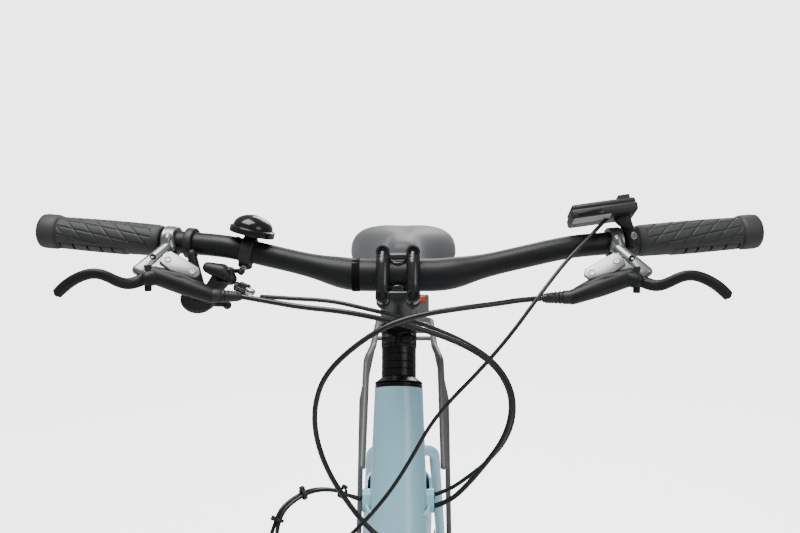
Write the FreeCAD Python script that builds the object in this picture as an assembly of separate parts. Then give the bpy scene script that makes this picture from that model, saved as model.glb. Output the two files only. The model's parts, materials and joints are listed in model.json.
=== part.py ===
"""Hybrid bike with pedal assist: one solid per piece, one file per node, in millimetres.

The bike faces -Y, its left side is +X and up is +Z. The origin lies on the ground,
half way between the ends of the tyres.
"""
import FreeCAD
import Part
import math
import os

# Wheels
WHEELBASE = 1100.0
BEAD_RADIUS = 311.0
TYRE_SECTION = 45.0
TYRE_WALL = 3.5
RIM_WIDTH = 27.0
RIM_WALL = 2.2
RIM_DEPTH = 20.0
RIM_LIP = 2.6
RIM_SLOPE = 9.0
RIM_FLOOR = 16.0
SPOKE_COUNT = 32
SPOKE_RADIUS = 1.0
SPOKE_SPLAY = 2.4
SPOKE_CROSSES = 3
SPOKE_RIM_OFFSET = 3.0
FLANGE_RADIUS = 29.0
FLANGE_THICKNESS = 4.0
HUB_RADIUS = 17.0
AXLE_RADIUS = 6.0
FRONT_OVER_LOCKNUT = 100.0
REAR_OVER_LOCKNUT = 142.0
FRONT_FLANGES = (-33.0, 23.0)
REAR_FLANGES = (-22.0, 36.0)
ROTOR_RADIUS = 80.0
ROTOR_THICKNESS = 1.8
ROTOR_ARM_RADIUS = 62.0
ROTOR_INSET = 11.0
ROTOR_ARMS = 6
ROTOR_ARM_WIDTH = 9.0

# Frame
BRACKET_HEIGHT = 285.0
CHAINSTAY_LENGTH = 465.0
SEAT_ANGLE = 74.5
SEAT_TUBE_LENGTH = 468.0
SEAT_TUBE_RADIUS = 17.5
SEATPOST_RADIUS = 13.6
HEAD_ANGLE = 70.0
FORK_OFFSET = 55.0
FORK_LENGTH = 430.0
HEAD_LENGTH = 170.0
HEAD_TOP_RADIUS = 25.0
HEAD_BOTTOM_RADIUS = 31.0
HEAD_WALL = 3.0
LOWER_STACK = 12.0
TOP_TUBE_RADIUS = 19.0
TOP_TUBE_DROP = 40.0
SEAT_JOIN_DROP = 60.0
DOWN_TUBE_WIDTH = 68.0
DOWN_TUBE_DEPTH = 66.0
DOWN_TUBE_CORNER = 22.0
DOWN_TUBE_RISE = 78.0
TUBE_WALL = 2.4
COLLAR_OVERLAP = 14.0
COLLAR_LIP = 4.0
COLLAR_WALL = 4.0
COLLAR_EAR = 12.0
STAY_RADIUS = 8.5
STAY_BEND = 40.0
STAY_TOP_DROP = 40.0
STAY_WISH_HALF = 50.0
STAY_WISH_BACK = 46.0
STAY_WISH_DROP = 12.0
STAY_FOOT_RISE = 26.0
CHAINSTAY_WIDTH = 16.0
CHAINSTAY_HEIGHT = 28.0
CHAINSTAY_ROOT = 34.0
CHAINSTAY_TIP_WIDTH = 11.0
CHAINSTAY_TIP_HEIGHT = 20.0
DROPOUT_THICKNESS = 7.0
DROPOUT_RADIUS = 20.0
MOTOR_RADIUS = 62.0
MOTOR_NOSE_RADIUS = 50.0
MOTOR_NOSE_REACH = 78.0
MOTOR_NOSE_RISE = 42.0
MOTOR_LEFT = 45.0
MOTOR_RIGHT = 40.0
BATTERY_LENGTH = 380.0
BATTERY_WIDTH = 50.0
PORT_DROP = 113.0
PORT_RADIUS = 9.0
PORT_LENGTH = 24.0
PORT_PROUD = 5.0

# Front end
STEERER_RADIUS = 14.3
COVER_HEIGHT = 7.0
BEARING_RING = 5.0
SPACER_COUNT = 4
SPACER_HEIGHT = 7.75
SPACER_RADIUS = 18.0
STEM_HEIGHT = 44.0
STEM_RADIUS = 18.5
STEM_REACH = 100.0
STEM_RISE = 33.0
STEM_NECK = 15.0
CLAMP_WIDTH = 44.0
CLAMP_WALL = 6.0
CLAMP_SPLIT = 3.0
BOLT_RADIUS = 2.5
BOLT_HEAD_RADIUS = 4.2
BOLT_ACROSS = 14.5
BOLT_UP = 21.5
BOLT_LENGTH = 20.0
EAR_HEIGHT = 54.0
FACE_DEPTH = 19.0
SLIT_WIDTH = 4.0
BAR_CLAMP_RADIUS = 15.9
BAR_RADIUS = 11.1
BAR_FLAT = 45.0
BAR_ELBOW = 165.0
BAR_ELBOW_RISE = 27.0
BAR_BEND = 60.0
BAR_TAPER = 50.0
BAR_ELBOW_BACK = 8.0
BAR_HALF = 362.0
BAR_END_RISE = 40.0
BAR_END_BACK = 45.0
GRIP_LENGTH = 130.0
GRIP_RADIUS = 16.0
GRIP_FLANGE_RADIUS = 17.5
GRIP_FLANGE = 18.0
GRIP_END = 3.0
BRAKE_LEFT_INSET = 151.0
BRAKE_RIGHT_INSET = 139.0
SHIFTER_INSET = 159.0
DISPLAY_INSET = 136.0
BELL_SHARE = 0.4722
BAND_WALL = 4.0
BAND_WIDTH = 12.0
BRAKE_TUBE_RADIUS = 9.5
BOOT_RADIUS = 7.0
LEVER_RADIUS = 5.0
LEVER_BOSS = 7.0
LEVER_PIN = 3.0
LEVER_EAR = 4.0
LID_LENGTH = 46.0
LID_WIDTH = 20.0
LID_THICKNESS = 4.0
LID_TILT = 53.0
LID_SLOPE = -18.0
RESERVOIR_DEPTH = 15.0
SHIFTER_RADIUS = 17.0
SHIFTER_DEPTH = 22.0
SHIFTER_POD = 20.0
THUMB_THICKNESS = 6.0
THUMB_RADIUS = 12.0
THUMB_ARM = 24.0
PADDLE_SIZE = 9.0
PADDLE_RISE = 3.5
PADDLE_PIN = 2.5
ADJUSTER_RADIUS = 6.5
FERRULE_RADIUS = 3.6
BELL_RADIUS = 22.0
BELL_HEIGHT = 18.0
BELL_WALL = 1.6
BELL_LIFT = 5.0
DISPLAY_WIDTH = 64.0
DISPLAY_DEPTH = 42.0
DISPLAY_THICKNESS = 15.0
DISPLAY_TILT = -18.0
DISPLAY_ROLL = -8.0
DISPLAY_LIFT = 29.0
DISPLAY_INBOARD = 28.0
BUTTON_SIZE = 11.0
BUTTON_LENGTH = 16.0
BUTTON_PROUD = 3.0
BUTTON_SINK = 4.0
BUTTON_TRAVEL = 1.5
LIGHT_RADIUS = 20.0
LIGHT_LENGTH = 38.0
LIGHT_DROP = 34.0
CROWN_HEIGHT = 44.0
CROWN_BEAM = 26.0
CROWN_DEPTH = 38.0
CROWN_RADIUS = 29.0
LEG_SPREAD_TOP = 48.0
LEG_RADIUS_TOP = 16.5
LEG_RADIUS_BOTTOM = 11.5

# Drive
CHAIN_PITCH = 12.7
RING_TEETH = 40
COG_TEETH = (11, 13, 15, 17, 19, 22, 26, 30, 36)
CHAIN_COG = 4
COG_PITCH = 4.35
COG_THICKNESS = 1.8
CHAIN_LINE = 48.0
CHAIN_WIDTH = 5.4
CHAIN_DEPTH = 8.0
PULLEY_TEETH = 11
GUIDE_BACK = 4.0
GUIDE_DROP = 102.0
TENSION_AHEAD = 38.0
TENSION_DROP = 64.0
CAGE_HALF = 6.0
CAGE_PLATE = 2.0
CAGE_WIDTH = 20.0
PULLEY_PIN = 3.0
KNUCKLE_RADIUS = 12.0
KNUCKLE_PIN = 5.0
HANGER_DROP = 34.0
PULLEY_WIDTH = 2.4
CRANK_LENGTH = 170.0
CRANK_INNER = 66.0
CRANK_THICKNESS = 13.0
CRANK_WIDTH = 26.0
SPINDLE_RADIUS = 12.0
PEDAL_LENGTH = 98.0
PEDAL_WIDTH = 92.0
PEDAL_HEIGHT = 20.0
PEDAL_AXLE_RADIUS = 5.0
PEDAL_GAP = 6.0
RING_THICKNESS = 2.4
RING_BAND = 12.0
RING_ARMS = 5
RING_BOSS = 24.0
RING_ARM_WIDTH = 16.0
CALIPER_BACK = 46.0
CALIPER_RISE = 50.0
CALIPER_WIDTH = 30.0
CALIPER_DEPTH = 38.0
CALIPER_HEIGHT = 46.0
CALIPER_SLOT = 3.2

# Saddle, rack and stand
SADDLE_TOP = 1041.0
SADDLE_LENGTH = 272.0
SADDLE_WIDTH = 168.0
SADDLE_NOSE_WIDTH = 54.0
SADDLE_NECK = 0.28
SADDLE_WING = 0.86
SADDLE_END_SHARE = 0.14
SADDLE_BLUNT = 0.72
SADDLE_NOSE_FALL = 0.16
SADDLE_STATIONS = 9
SADDLE_WAIST = 0.88
SADDLE_SHOULDER = 0.82
SADDLE_CROWN = 0.78
SADDLE_SETBACK = 128.0
SADDLE_PAD_DEPTH = 36.0
SADDLE_SHELL = 4.0
RAIL_RADIUS = 3.5
RAIL_SPREAD = 22.0
RAIL_SHARE = 0.88
RAIL_FLARE = 1.6
POST_HEAD_LENGTH = 41.0
POST_HEAD_HEIGHT = 22.0
RACK_HEIGHT = 812.0
RACK_KNEE = 440.0
RACK_KNEE_DROP = 16.0
RACK_KNEE_HALF = 66.0
RACK_START = 485.0
RACK_END = 815.0
RACK_HALF = 56.0
RACK_TUBE = 6.0
RACK_BEND = 38.0
RACK_FOOT_SHARE = 0.14
RACK_LEG_AT = 600.0
RACK_LEG_KNEE = 690.0
RACK_LEG_HALF = 82.0
RACK_LEG_TUBE = 5.0
RACK_SLATS = 3
RACK_SLAT_RADIUS = 4.2
RACK_SPINE_RADIUS = 3.6
LAMP_WIDTH = 104.0
LAMP_HEIGHT = 44.0
LAMP_DEPTH = 20.0
LAMP_PLATE = 4.0
STAND_BACK = 59.5
STAND_PIVOT_Z = 170.0
STAND_HALF = 92.0
STAND_LEAD = 12.0
STAND_TUBE = 7.0
STAND_PIN = 6.0
STAND_BRACKET_HALF = 22.0

# Cords
HOSE_RADIUS = 2.6
CABLE_RADIUS = 2.1
WIRE_RADIUS = 1.9
TIE_WIDTH = 4.0
TIE_WALL = 1.6

# Plates and rounded edges of small pieces
PLATE = 4.0
EDGE_ROUND = 4.0

# Clearances: a seated face, a running fit and a free gap
SEAT = 0.2
RUN = 0.05
FREE = 0.6

# How far a cog stands above its pitch circle, and what counts as equal
COG_PROUD = 2.0
SAME_RADIUS = 0.002
OFFSET_TOLERANCE = 0.02
FULL_TURN = 360.0
ARC_SHARE = 0.45

X = FreeCAD.Vector(1, 0, 0)
Y = FreeCAD.Vector(0, 1, 0)
Z = FreeCAD.Vector(0, 0, 1)
V = FreeCAD.Vector


def rod(a, b, radius):
    return Part.makeCylinder(radius, a.distanceToPoint(b), a, b.sub(a))


def taper(a, b, radius_a, radius_b):
    if abs(radius_a - radius_b) < SAME_RADIUS:
        return rod(a, b, radius_a)
    return Part.makeCone(radius_a, radius_b, a.distanceToPoint(b), a, b.sub(a))


def block(center, size, rounding=0.0):
    """Box about a centre, with its edges rounded as far as its thinnest side allows."""
    box = Part.makeBox(size.x, size.y, size.z, center - size * 0.5)
    limit = min(size.x, size.y, size.z) * ARC_SHARE
    if rounding > 0:
        box = box.makeFillet(min(rounding, limit), box.Edges)
    return box


def fuse(first, *others):
    return first.multiFuse(list(others)).removeSplitter()


def mirrored(shape):
    return shape.mirror(V(0, 0, 0), X)


def both_sides(shape):
    return [shape, mirrored(shape)]


def placed(shape, origin, turn_about_x):
    moved = shape.copy()
    moved.Placement = FreeCAD.Placement(origin, FreeCAD.Rotation(X, turn_about_x)).multiply(moved.Placement)
    return moved


def lean(direction):
    """Turn about X, in degrees, that takes +Z to a direction in the plane of the bike."""
    return math.degrees(math.atan2(-direction.y, direction.z))


def turned(profile, center):
    """Solid of revolution about X through a centre, from (x, radius) points."""
    points = [center + V(x, 0, r) for x, r in profile]
    face = Part.Face(Part.makePolygon(points + points[:1]))
    return face.revolve(center, X, FULL_TURN)


def turned_up(profile):
    """Solid of revolution about Z, from (radius, height) points."""
    points = [V(r, 0, h) for r, h in profile]
    face = Part.Face(Part.makePolygon(points + points[:1]))
    return face.revolve(V(0, 0, 0), Z, FULL_TURN)


def bend_path(points, bend=None):
    """Straight runs joined by tangent arcs, as large as the runs or the given bend allow."""
    edges = []
    radii = []
    start = points[0]
    for before, corner, after in zip(points, points[1:], points[2:]):
        back = (before - corner).normalize()
        onward = (after - corner).normalize()
        half = back.getAngle(onward) / 2
        reach = ARC_SHARE * min(before.distanceToPoint(corner), corner.distanceToPoint(after))
        if bend:
            reach = min(reach, bend / math.tan(half))
        radius = reach * math.tan(half)
        first = corner + back * reach
        last = corner + onward * reach
        middle = corner + (back + onward).normalize() * (reach / math.cos(half) - radius)
        edges.append(Part.LineSegment(start, first).toShape())
        edges.append(Part.Arc(first, middle, last).toShape())
        radii.append(radius)
        start = last
    edges.append(Part.LineSegment(start, points[-1]).toShape())
    return Part.Wire(edges), radii


def bent_tube(points, radius, bend=None):
    path = bend_path(points, bend)[0]
    profile = Part.Wire([Part.Circle(points[0], points[1] - points[0], radius).toShape()])
    return path.makePipeShell([profile], True, False)


def cord(name, points, radius):
    """A held cord: its tube, with its length, tightest arc and volume printed."""
    path, radii = bend_path(points)
    tube = bent_tube(points, radius)
    share = tube.Volume / (math.pi * radius ** 2 * path.Length)
    print("%s length %.0f tightest arc %.1f volume share %.4f" % (name, path.Length, min(radii), share))
    return tube


def export(node, *solids):
    shape = solids[0] if len(solids) == 1 else Part.makeCompound(list(solids))
    shape.exportStep("parts/%s.step" % node)


# Frame points, in the plane of the bike
WHEEL_RADIUS = BEAD_RADIUS + TYRE_SECTION
FRONT_AXLE = V(0, -WHEELBASE / 2, WHEEL_RADIUS)
REAR_AXLE = V(0, WHEELBASE / 2, WHEEL_RADIUS)
STAY_RUN = math.sqrt(CHAINSTAY_LENGTH ** 2 - (WHEEL_RADIUS - BRACKET_HEIGHT) ** 2)
BRACKET = V(0, REAR_AXLE.y - STAY_RUN, BRACKET_HEIGHT)
TILT = HEAD_ANGLE - 90.0
STEER = V(0, math.cos(math.radians(HEAD_ANGLE)), math.sin(math.radians(HEAD_ANGLE)))
AHEAD = V(0, -STEER.z, STEER.y)
CROWN = FRONT_AXLE - AHEAD * FORK_OFFSET + STEER * math.sqrt(FORK_LENGTH ** 2 - FORK_OFFSET ** 2)
HEAD_BOTTOM = CROWN + STEER * LOWER_STACK
HEAD_TOP = HEAD_BOTTOM + STEER * HEAD_LENGTH
SEAT_WAY = V(0, math.cos(math.radians(SEAT_ANGLE)), math.sin(math.radians(SEAT_ANGLE)))
SEAT_TOP = BRACKET + SEAT_WAY * SEAT_TUBE_LENGTH
STEM_BASE = LOWER_STACK + HEAD_LENGTH + BEARING_RING + COVER_HEIGHT + SPACER_COUNT * SPACER_HEIGHT
STEM_MIDDLE = CROWN + STEER * (STEM_BASE + STEM_HEIGHT / 2)
BAR = STEM_MIDDLE + AHEAD * STEM_REACH + STEER * STEM_RISE
BAR_ELBOW_AT = BAR + V(BAR_ELBOW, BAR_ELBOW_BACK, BAR_ELBOW_RISE)
BAR_END = BAR + V(BAR_HALF, BAR_END_BACK, BAR_END_RISE)
BAR_KINK = BAR + V(BAR_FLAT, 0, 0)
BAR_WAY = (BAR_END - BAR_ELBOW_AT).normalize()
BRAKE_LEFT_AT = BAR_HALF - BRAKE_LEFT_INSET
BRAKE_RIGHT_AT = BAR_HALF - BRAKE_RIGHT_INSET
SHIFTER_AT = BAR_HALF - SHIFTER_INSET
DISPLAY_AT = BAR_HALF - DISPLAY_INSET
TAPER_END = BAR_FLAT + BAR_TAPER
BELL_AT = TAPER_END + (SHIFTER_AT - TAPER_END) * BELL_SHARE


def steered(shape):
    """Move a shape from the steering frame, with the crown at its origin, to the bike."""
    return placed(shape, CROWN, TILT)


def bar_way(x):
    """Direction of the left arm of the handlebar at a distance from the middle plane."""
    return BAR_WAY if x > BAR_ELBOW else (BAR_ELBOW_AT - BAR_KINK).normalize()


def on_bar(x):
    """Point on the left arm of the handlebar at a distance from the middle plane."""
    way = bar_way(x)
    return BAR_ELBOW_AT + way * ((x - BAR_ELBOW_AT.x) / way.x)


def ring_on_bar(x, width):
    """Clamp band about the left arm of the handlebar, with its middle at a distance."""
    start = on_bar(x) - bar_way(x) * (width / 2)
    end = start + bar_way(x) * width
    return rod(start, end, BAR_RADIUS + BAND_WALL).cut(rod(start, end, BAR_RADIUS + SEAT))


def pitch_radius(teeth):
    return CHAIN_PITCH / (2 * math.sin(math.pi / teeth))


# Wheels

def tyre(center):
    """Open C section between the rim's walls, turned about the axle."""
    middle = WHEEL_RADIUS - TYRE_SECTION / 2
    outer = TYRE_SECTION / 2
    inner = outer - TYRE_WALL
    bead = RIM_WIDTH / 2 - RIM_WALL - SEAT
    leg = bead - TYRE_WALL
    foot = BEAD_RADIUS - RIM_SLOPE

    def at(x, r):
        return center + V(x, 0, r)

    shoulder = middle - math.sqrt(outer ** 2 - bead ** 2)
    throat = middle - math.sqrt(inner ** 2 - leg ** 2)
    edges = [
        Part.Arc(at(bead, shoulder), at(0, WHEEL_RADIUS), at(-bead, shoulder)).toShape(),
        Part.makePolygon([at(-bead, shoulder), at(-bead, foot), at(-leg, foot), at(-leg, throat)]),
        Part.Arc(at(-leg, throat), at(0, WHEEL_RADIUS - TYRE_WALL), at(leg, throat)).toShape(),
        Part.makePolygon([at(leg, throat), at(leg, foot), at(bead, foot), at(bead, shoulder)]),
    ]
    return Part.Face(Part.Wire(edges)).revolve(center, X, FULL_TURN)


def rim(center):
    """Single-wall channel that is open towards the tyre."""
    half = RIM_WIDTH / 2
    lip = BEAD_RADIUS + RIM_LIP
    bottom = BEAD_RADIUS - RIM_DEPTH
    knee = bottom + RIM_SLOPE
    floor = RIM_FLOOR / 2
    outside = [(-half, lip), (-half, knee), (-floor, bottom), (floor, bottom), (half, knee), (half, lip)]
    wall = RIM_WALL
    inside = [(half - wall, lip), (half - wall, knee + wall / 2), (floor - wall / 2, bottom + wall),
              (wall / 2 - floor, bottom + wall), (wall - half, knee + wall / 2), (wall - half, lip)]
    return turned(outside + inside, center)


def spokes(center, flanges):
    """Crossed spokes, trimmed to the hub flanges and to the rim."""
    per_side = SPOKE_COUNT // 2
    step = 2 * math.pi / per_side
    rim_radius = BEAD_RADIUS - RIM_DEPTH
    rods = []
    for side, flange in enumerate(flanges):
        toward = 1 if flange > 0 else -1
        for k in range(per_side):
            lean_sign = 1 if k % 2 else -1
            hub_angle = k * step + side * step / 2
            rim_angle = hub_angle + lean_sign * SPOKE_CROSSES * step
            hub_x = flange + lean_sign * SPOKE_SPLAY
            rim_x = toward * SPOKE_RIM_OFFSET
            start = center + V(hub_x, FLANGE_RADIUS * math.cos(hub_angle),
                               FLANGE_RADIUS * math.sin(hub_angle))
            end = center + V(rim_x, rim_radius * math.cos(rim_angle), rim_radius * math.sin(rim_angle))
            rods.append(rod(start, end, SPOKE_RADIUS))
    reach = V(REAR_OVER_LOCKNUT / 2, 0, 0)
    room = rod(center - reach, center + reach, rim_radius - SEAT)
    room = room.cut(rod(center - reach, center + reach, FLANGE_RADIUS + SEAT))
    return Part.makeCompound(rods).common(room).Solids


def hub(center, left_end, right_end, flanges):
    """Barrel with two flanges, bored for the axle. Ends are x distances from the middle."""
    half = FLANGE_THICKNESS / 2
    bore = AXLE_RADIUS + RUN
    profile = [(right_end, bore), (right_end, HUB_RADIUS)]
    for flange in flanges:
        profile += [(flange - half, HUB_RADIUS), (flange - half, FLANGE_RADIUS),
                    (flange + half, FLANGE_RADIUS), (flange + half, HUB_RADIUS)]
    profile += [(left_end, HUB_RADIUS), (left_end, bore)]
    return turned(profile, center)


def rotor(center, x):
    """Braking ring, six arms and the carrier about the hub barrel."""
    half = V(ROTOR_THICKNESS / 2, 0, 0)
    middle = center + V(x, 0, 0)

    def disc(radius):
        return rod(middle - half, middle + half, radius)

    arm_length = ROTOR_ARM_RADIUS - HUB_RADIUS
    arms = []
    for k in range(ROTOR_ARMS):
        arm = block(V(0, 0, HUB_RADIUS + arm_length / 2 + ROTOR_ARM_WIDTH / 4),
                    V(ROTOR_THICKNESS, ROTOR_ARM_WIDTH, arm_length))
        arms.append(placed(arm, middle, k * FULL_TURN / ROTOR_ARMS))
    ring = disc(ROTOR_RADIUS).cut(disc(ROTOR_ARM_RADIUS))
    carrier = disc(HUB_RADIUS + ROTOR_ARM_WIDTH)
    return fuse(ring, carrier, *arms).cut(disc(HUB_RADIUS + SEAT))


def make_wheels():
    for name, center, flanges in (("front", FRONT_AXLE, FRONT_FLANGES), ("rear", REAR_AXLE, REAR_FLANGES)):
        export(name + "_tyre", tyre(center))
        export(name + "_rim", rim(center))
        export(name + "_spokes", *spokes(center, flanges))
    half = FRONT_OVER_LOCKNUT / 2 - SEAT
    front_rotor = rotor(FRONT_AXLE, FRONT_OVER_LOCKNUT / 2 - ROTOR_INSET)
    export("front_hub", hub(FRONT_AXLE, half, -half, FRONT_FLANGES), front_rotor)
    inner = REAR_FLANGES[0] - FLANGE_THICKNESS / 2 - SEAT
    rear_rotor = rotor(REAR_AXLE, REAR_OVER_LOCKNUT / 2 - ROTOR_INSET)
    export("rear_hub", hub(REAR_AXLE, REAR_OVER_LOCKNUT / 2 - SEAT, inner, REAR_FLANGES), rear_rotor)


# Frame

def head_shell(gap=0.0):
    """Tapered outside of the head tube, grown by a gap."""
    bottom = STEER * (LOWER_STACK - gap)
    top = STEER * (LOWER_STACK + HEAD_LENGTH + gap)
    return taper(CROWN + bottom, CROWN + top, HEAD_BOTTOM_RADIUS + gap, HEAD_TOP_RADIUS + gap)


def head_bore():
    return rod(CROWN, CROWN + STEER * STEM_BASE, HEAD_TOP_RADIUS - HEAD_WALL)


def cable_port():
    """Oval boss on the left side of the head tube, facing outwards."""
    middle = HEAD_TOP - STEER * PORT_DROP
    reach = V(HEAD_BOTTOM_RADIUS + PORT_PROUD, 0, 0)
    spread = STEER * (PORT_LENGTH / 2 - PORT_RADIUS)
    upper = rod(middle + spread, middle + spread + reach, PORT_RADIUS)
    lower = rod(middle - spread, middle - spread + reach, PORT_RADIUS)
    web = rod(middle, middle + reach, PORT_RADIUS)
    return fuse(upper, lower, web).cut(head_shell(SEAT)).Solids[0]


DOWN_START = CROWN + STEER * DOWN_TUBE_RISE
MOTOR_NOSE = BRACKET + V(0, -MOTOR_NOSE_REACH, MOTOR_NOSE_RISE)
DOWN_WAY = (MOTOR_NOSE - DOWN_START).normalize()
DOWN_LENGTH = DOWN_START.distanceToPoint(MOTOR_NOSE)


def down_section(shrink):
    """Rounded box along the down tube, from the head tube to the motor."""
    width = DOWN_TUBE_WIDTH - 2 * shrink
    depth = DOWN_TUBE_DEPTH - 2 * shrink
    box = Part.makeBox(width, depth, DOWN_LENGTH, V(-width / 2, -depth / 2, 0))
    long_edges = [e for e in box.Edges if abs(e.tangentAt(e.FirstParameter).z) > ARC_SHARE]
    box = box.makeFillet(DOWN_TUBE_CORNER - shrink, long_edges)
    return placed(box, DOWN_START, lean(DOWN_WAY))


def battery_bay(gap):
    """Space of the battery: it opens at the lower face of the down tube."""
    width = BATTERY_WIDTH + 2 * gap
    depth = DOWN_TUBE_DEPTH - TUBE_WALL - SEAT + gap
    length = BATTERY_LENGTH + 2 * gap
    clear_end = DOWN_LENGTH - MOTOR_NOSE_RADIUS
    start = (2 * HEAD_BOTTOM_RADIUS + clear_end - BATTERY_LENGTH) / 2
    top = DOWN_TUBE_DEPTH / 2 + gap
    box = Part.makeBox(width, depth + gap, length, V(-width / 2, top - depth - gap, start - gap))
    return placed(box, DOWN_START, lean(DOWN_WAY))


def motor_body(gap=0.0):
    """Housing about the bracket and the motor ahead of it, grown by a gap."""
    right = V(-MOTOR_RIGHT - gap, 0, 0)
    left = V(MOTOR_LEFT + gap, 0, 0)
    way = (MOTOR_NOSE - BRACKET).normalize()
    across = V(0, -way.z, way.y)
    big = MOTOR_RADIUS + gap
    small = MOTOR_NOSE_RADIUS + gap
    corners = [BRACKET + across * big, MOTOR_NOSE + across * small,
               MOTOR_NOSE - across * small, BRACKET - across * big]
    web = Part.Face(Part.makePolygon([c + right for c in corners + corners[:1]])).extrude(left - right)
    rear = rod(BRACKET + right, BRACKET + left, big)
    return fuse(rear, rod(MOTOR_NOSE + right, MOTOR_NOSE + left, small), web)


def seat_solid(gap=0.0):
    return rod(BRACKET, SEAT_TOP, SEAT_TUBE_RADIUS + gap)


def make_main_tubes():
    ports = both_sides(cable_port())
    export("head_tube", head_shell().cut(head_bore()), *ports)
    motor = motor_body(SEAT)
    down = down_section(0).cut(down_section(TUBE_WALL)).cut(battery_bay(SEAT))
    down = down.cut(head_shell(SEAT)).cut(head_bore()).cut(motor)
    down = down.cut(Part.makeCompound([p.makeOffsetShape(SEAT, OFFSET_TOLERANCE) for p in ports]))
    export("down_tube", max(down.Solids, key=lambda s: s.Volume))
    export("battery", battery_bay(0).common(down_section(0)))
    top_start = HEAD_TOP - STEER * TOP_TUBE_DROP
    top_end = SEAT_TOP - SEAT_WAY * SEAT_JOIN_DROP
    top = rod(top_start, top_end, TOP_TUBE_RADIUS).cut(rod(top_start, top_end, TOP_TUBE_RADIUS - TUBE_WALL))
    top = top.cut(head_shell(SEAT)).cut(head_bore()).cut(seat_solid(SEAT))
    export("top_tube", max(top.Solids, key=lambda s: s.Volume))
    bore = rod(BRACKET, SEAT_TOP, SEATPOST_RADIUS + RUN)
    seat = seat_solid().cut(bore).cut(motor_body(SEAT))
    collar_base = SEAT_TOP - SEAT_WAY * COLLAR_OVERLAP
    collar_top = SEAT_TOP + SEAT_WAY * COLLAR_LIP
    collar = rod(collar_base, collar_top, SEAT_TUBE_RADIUS + COLLAR_WALL)
    collar = collar.cut(seat_solid(SEAT)).cut(rod(BRACKET, collar_top, SEATPOST_RADIUS + RUN))
    ear = block(V(0, 0, 0), V(COLLAR_EAR, COLLAR_EAR, COLLAR_LIP + COLLAR_OVERLAP))
    ear_middle = (collar_base + collar_top) * 0.5 + V(0, SEAT_TUBE_RADIUS + COLLAR_WALL, 0)
    ear = placed(ear, ear_middle, lean(SEAT_WAY)).cut(rod(BRACKET, collar_top, SEAT_TUBE_RADIUS + SEAT))
    export("seat_tube", seat.Solids[0], fuse(collar, ear).Solids[0])
    spindle_bore = rod(BRACKET - X * CRANK_INNER, BRACKET + X * CRANK_INNER, SPINDLE_RADIUS + RUN)
    housing = motor_body().cut(spindle_bore)
    export("motor_housing", housing, stand_bracket())


STAY_X = REAR_OVER_LOCKNUT / 2 + DROPOUT_THICKNESS / 2
STAY_HEAD = SEAT_TOP - SEAT_WAY * STAY_TOP_DROP
STAY_WISH = STAY_HEAD + V(STAY_WISH_HALF, STAY_WISH_BACK, -STAY_WISH_DROP)
STAY_FOOT = REAR_AXLE + V(STAY_X, 0, STAY_FOOT_RISE)


def rectangle(center, width, height):
    """Upright rectangle across the bike's length."""
    half = V(width / 2, 0, 0)
    rise = V(0, 0, height / 2)
    corners = [center - half - rise, center + half - rise, center + half + rise, center - half + rise]
    return Part.makePolygon(corners + corners[:1])


def dropout(gap=0.0):
    inner = REAR_AXLE + V(REAR_OVER_LOCKNUT / 2 - gap, 0, 0)
    return rod(inner, inner + V(DROPOUT_THICKNESS + 2 * gap, 0, 0), DROPOUT_RADIUS + gap)


def chain_stay(gap=0.0):
    root = BRACKET + V(CHAINSTAY_ROOT, MOTOR_RADIUS / 2, 0)
    tip = REAR_AXLE + V(STAY_X, -DROPOUT_RADIUS / 2, 0)
    sections = [rectangle(root, CHAINSTAY_WIDTH + 2 * gap, CHAINSTAY_HEIGHT + 2 * gap),
                rectangle(tip, CHAINSTAY_TIP_WIDTH + 2 * gap, CHAINSTAY_TIP_HEIGHT + 2 * gap)]
    return Part.makeLoft(sections, True, True)


def seat_stay(gap=0.0):
    return bent_tube([STAY_HEAD, STAY_WISH, STAY_FOOT], STAY_RADIUS + gap, STAY_BEND)


def make_stays():
    reach = X * (REAR_OVER_LOCKNUT / 2)
    wheel_slot = rod(REAR_AXLE - reach, REAR_AXLE + reach, DROPOUT_RADIUS)
    bore = rod(REAR_AXLE - X * STAY_X * 2, REAR_AXLE + X * STAY_X * 2, AXLE_RADIUS + SEAT)
    lower = fuse(chain_stay().cut(wheel_slot), dropout()).cut(bore).cut(motor_body(SEAT))
    axle_reach = V(REAR_OVER_LOCKNUT / 2 + DROPOUT_THICKNESS, 0, 0)
    axle = rod(REAR_AXLE - axle_reach, REAR_AXLE + axle_reach, AXLE_RADIUS)
    export("chain_stays", *both_sides(max(lower.Solids, key=lambda s: s.Volume)), axle)
    upper = seat_stay().cut(seat_solid(SEAT)).cut(dropout(SEAT)).cut(chain_stay(SEAT))
    export("seat_stays", *both_sides(max(upper.Solids, key=lambda s: s.Volume)))


# Rack and rear light

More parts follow.
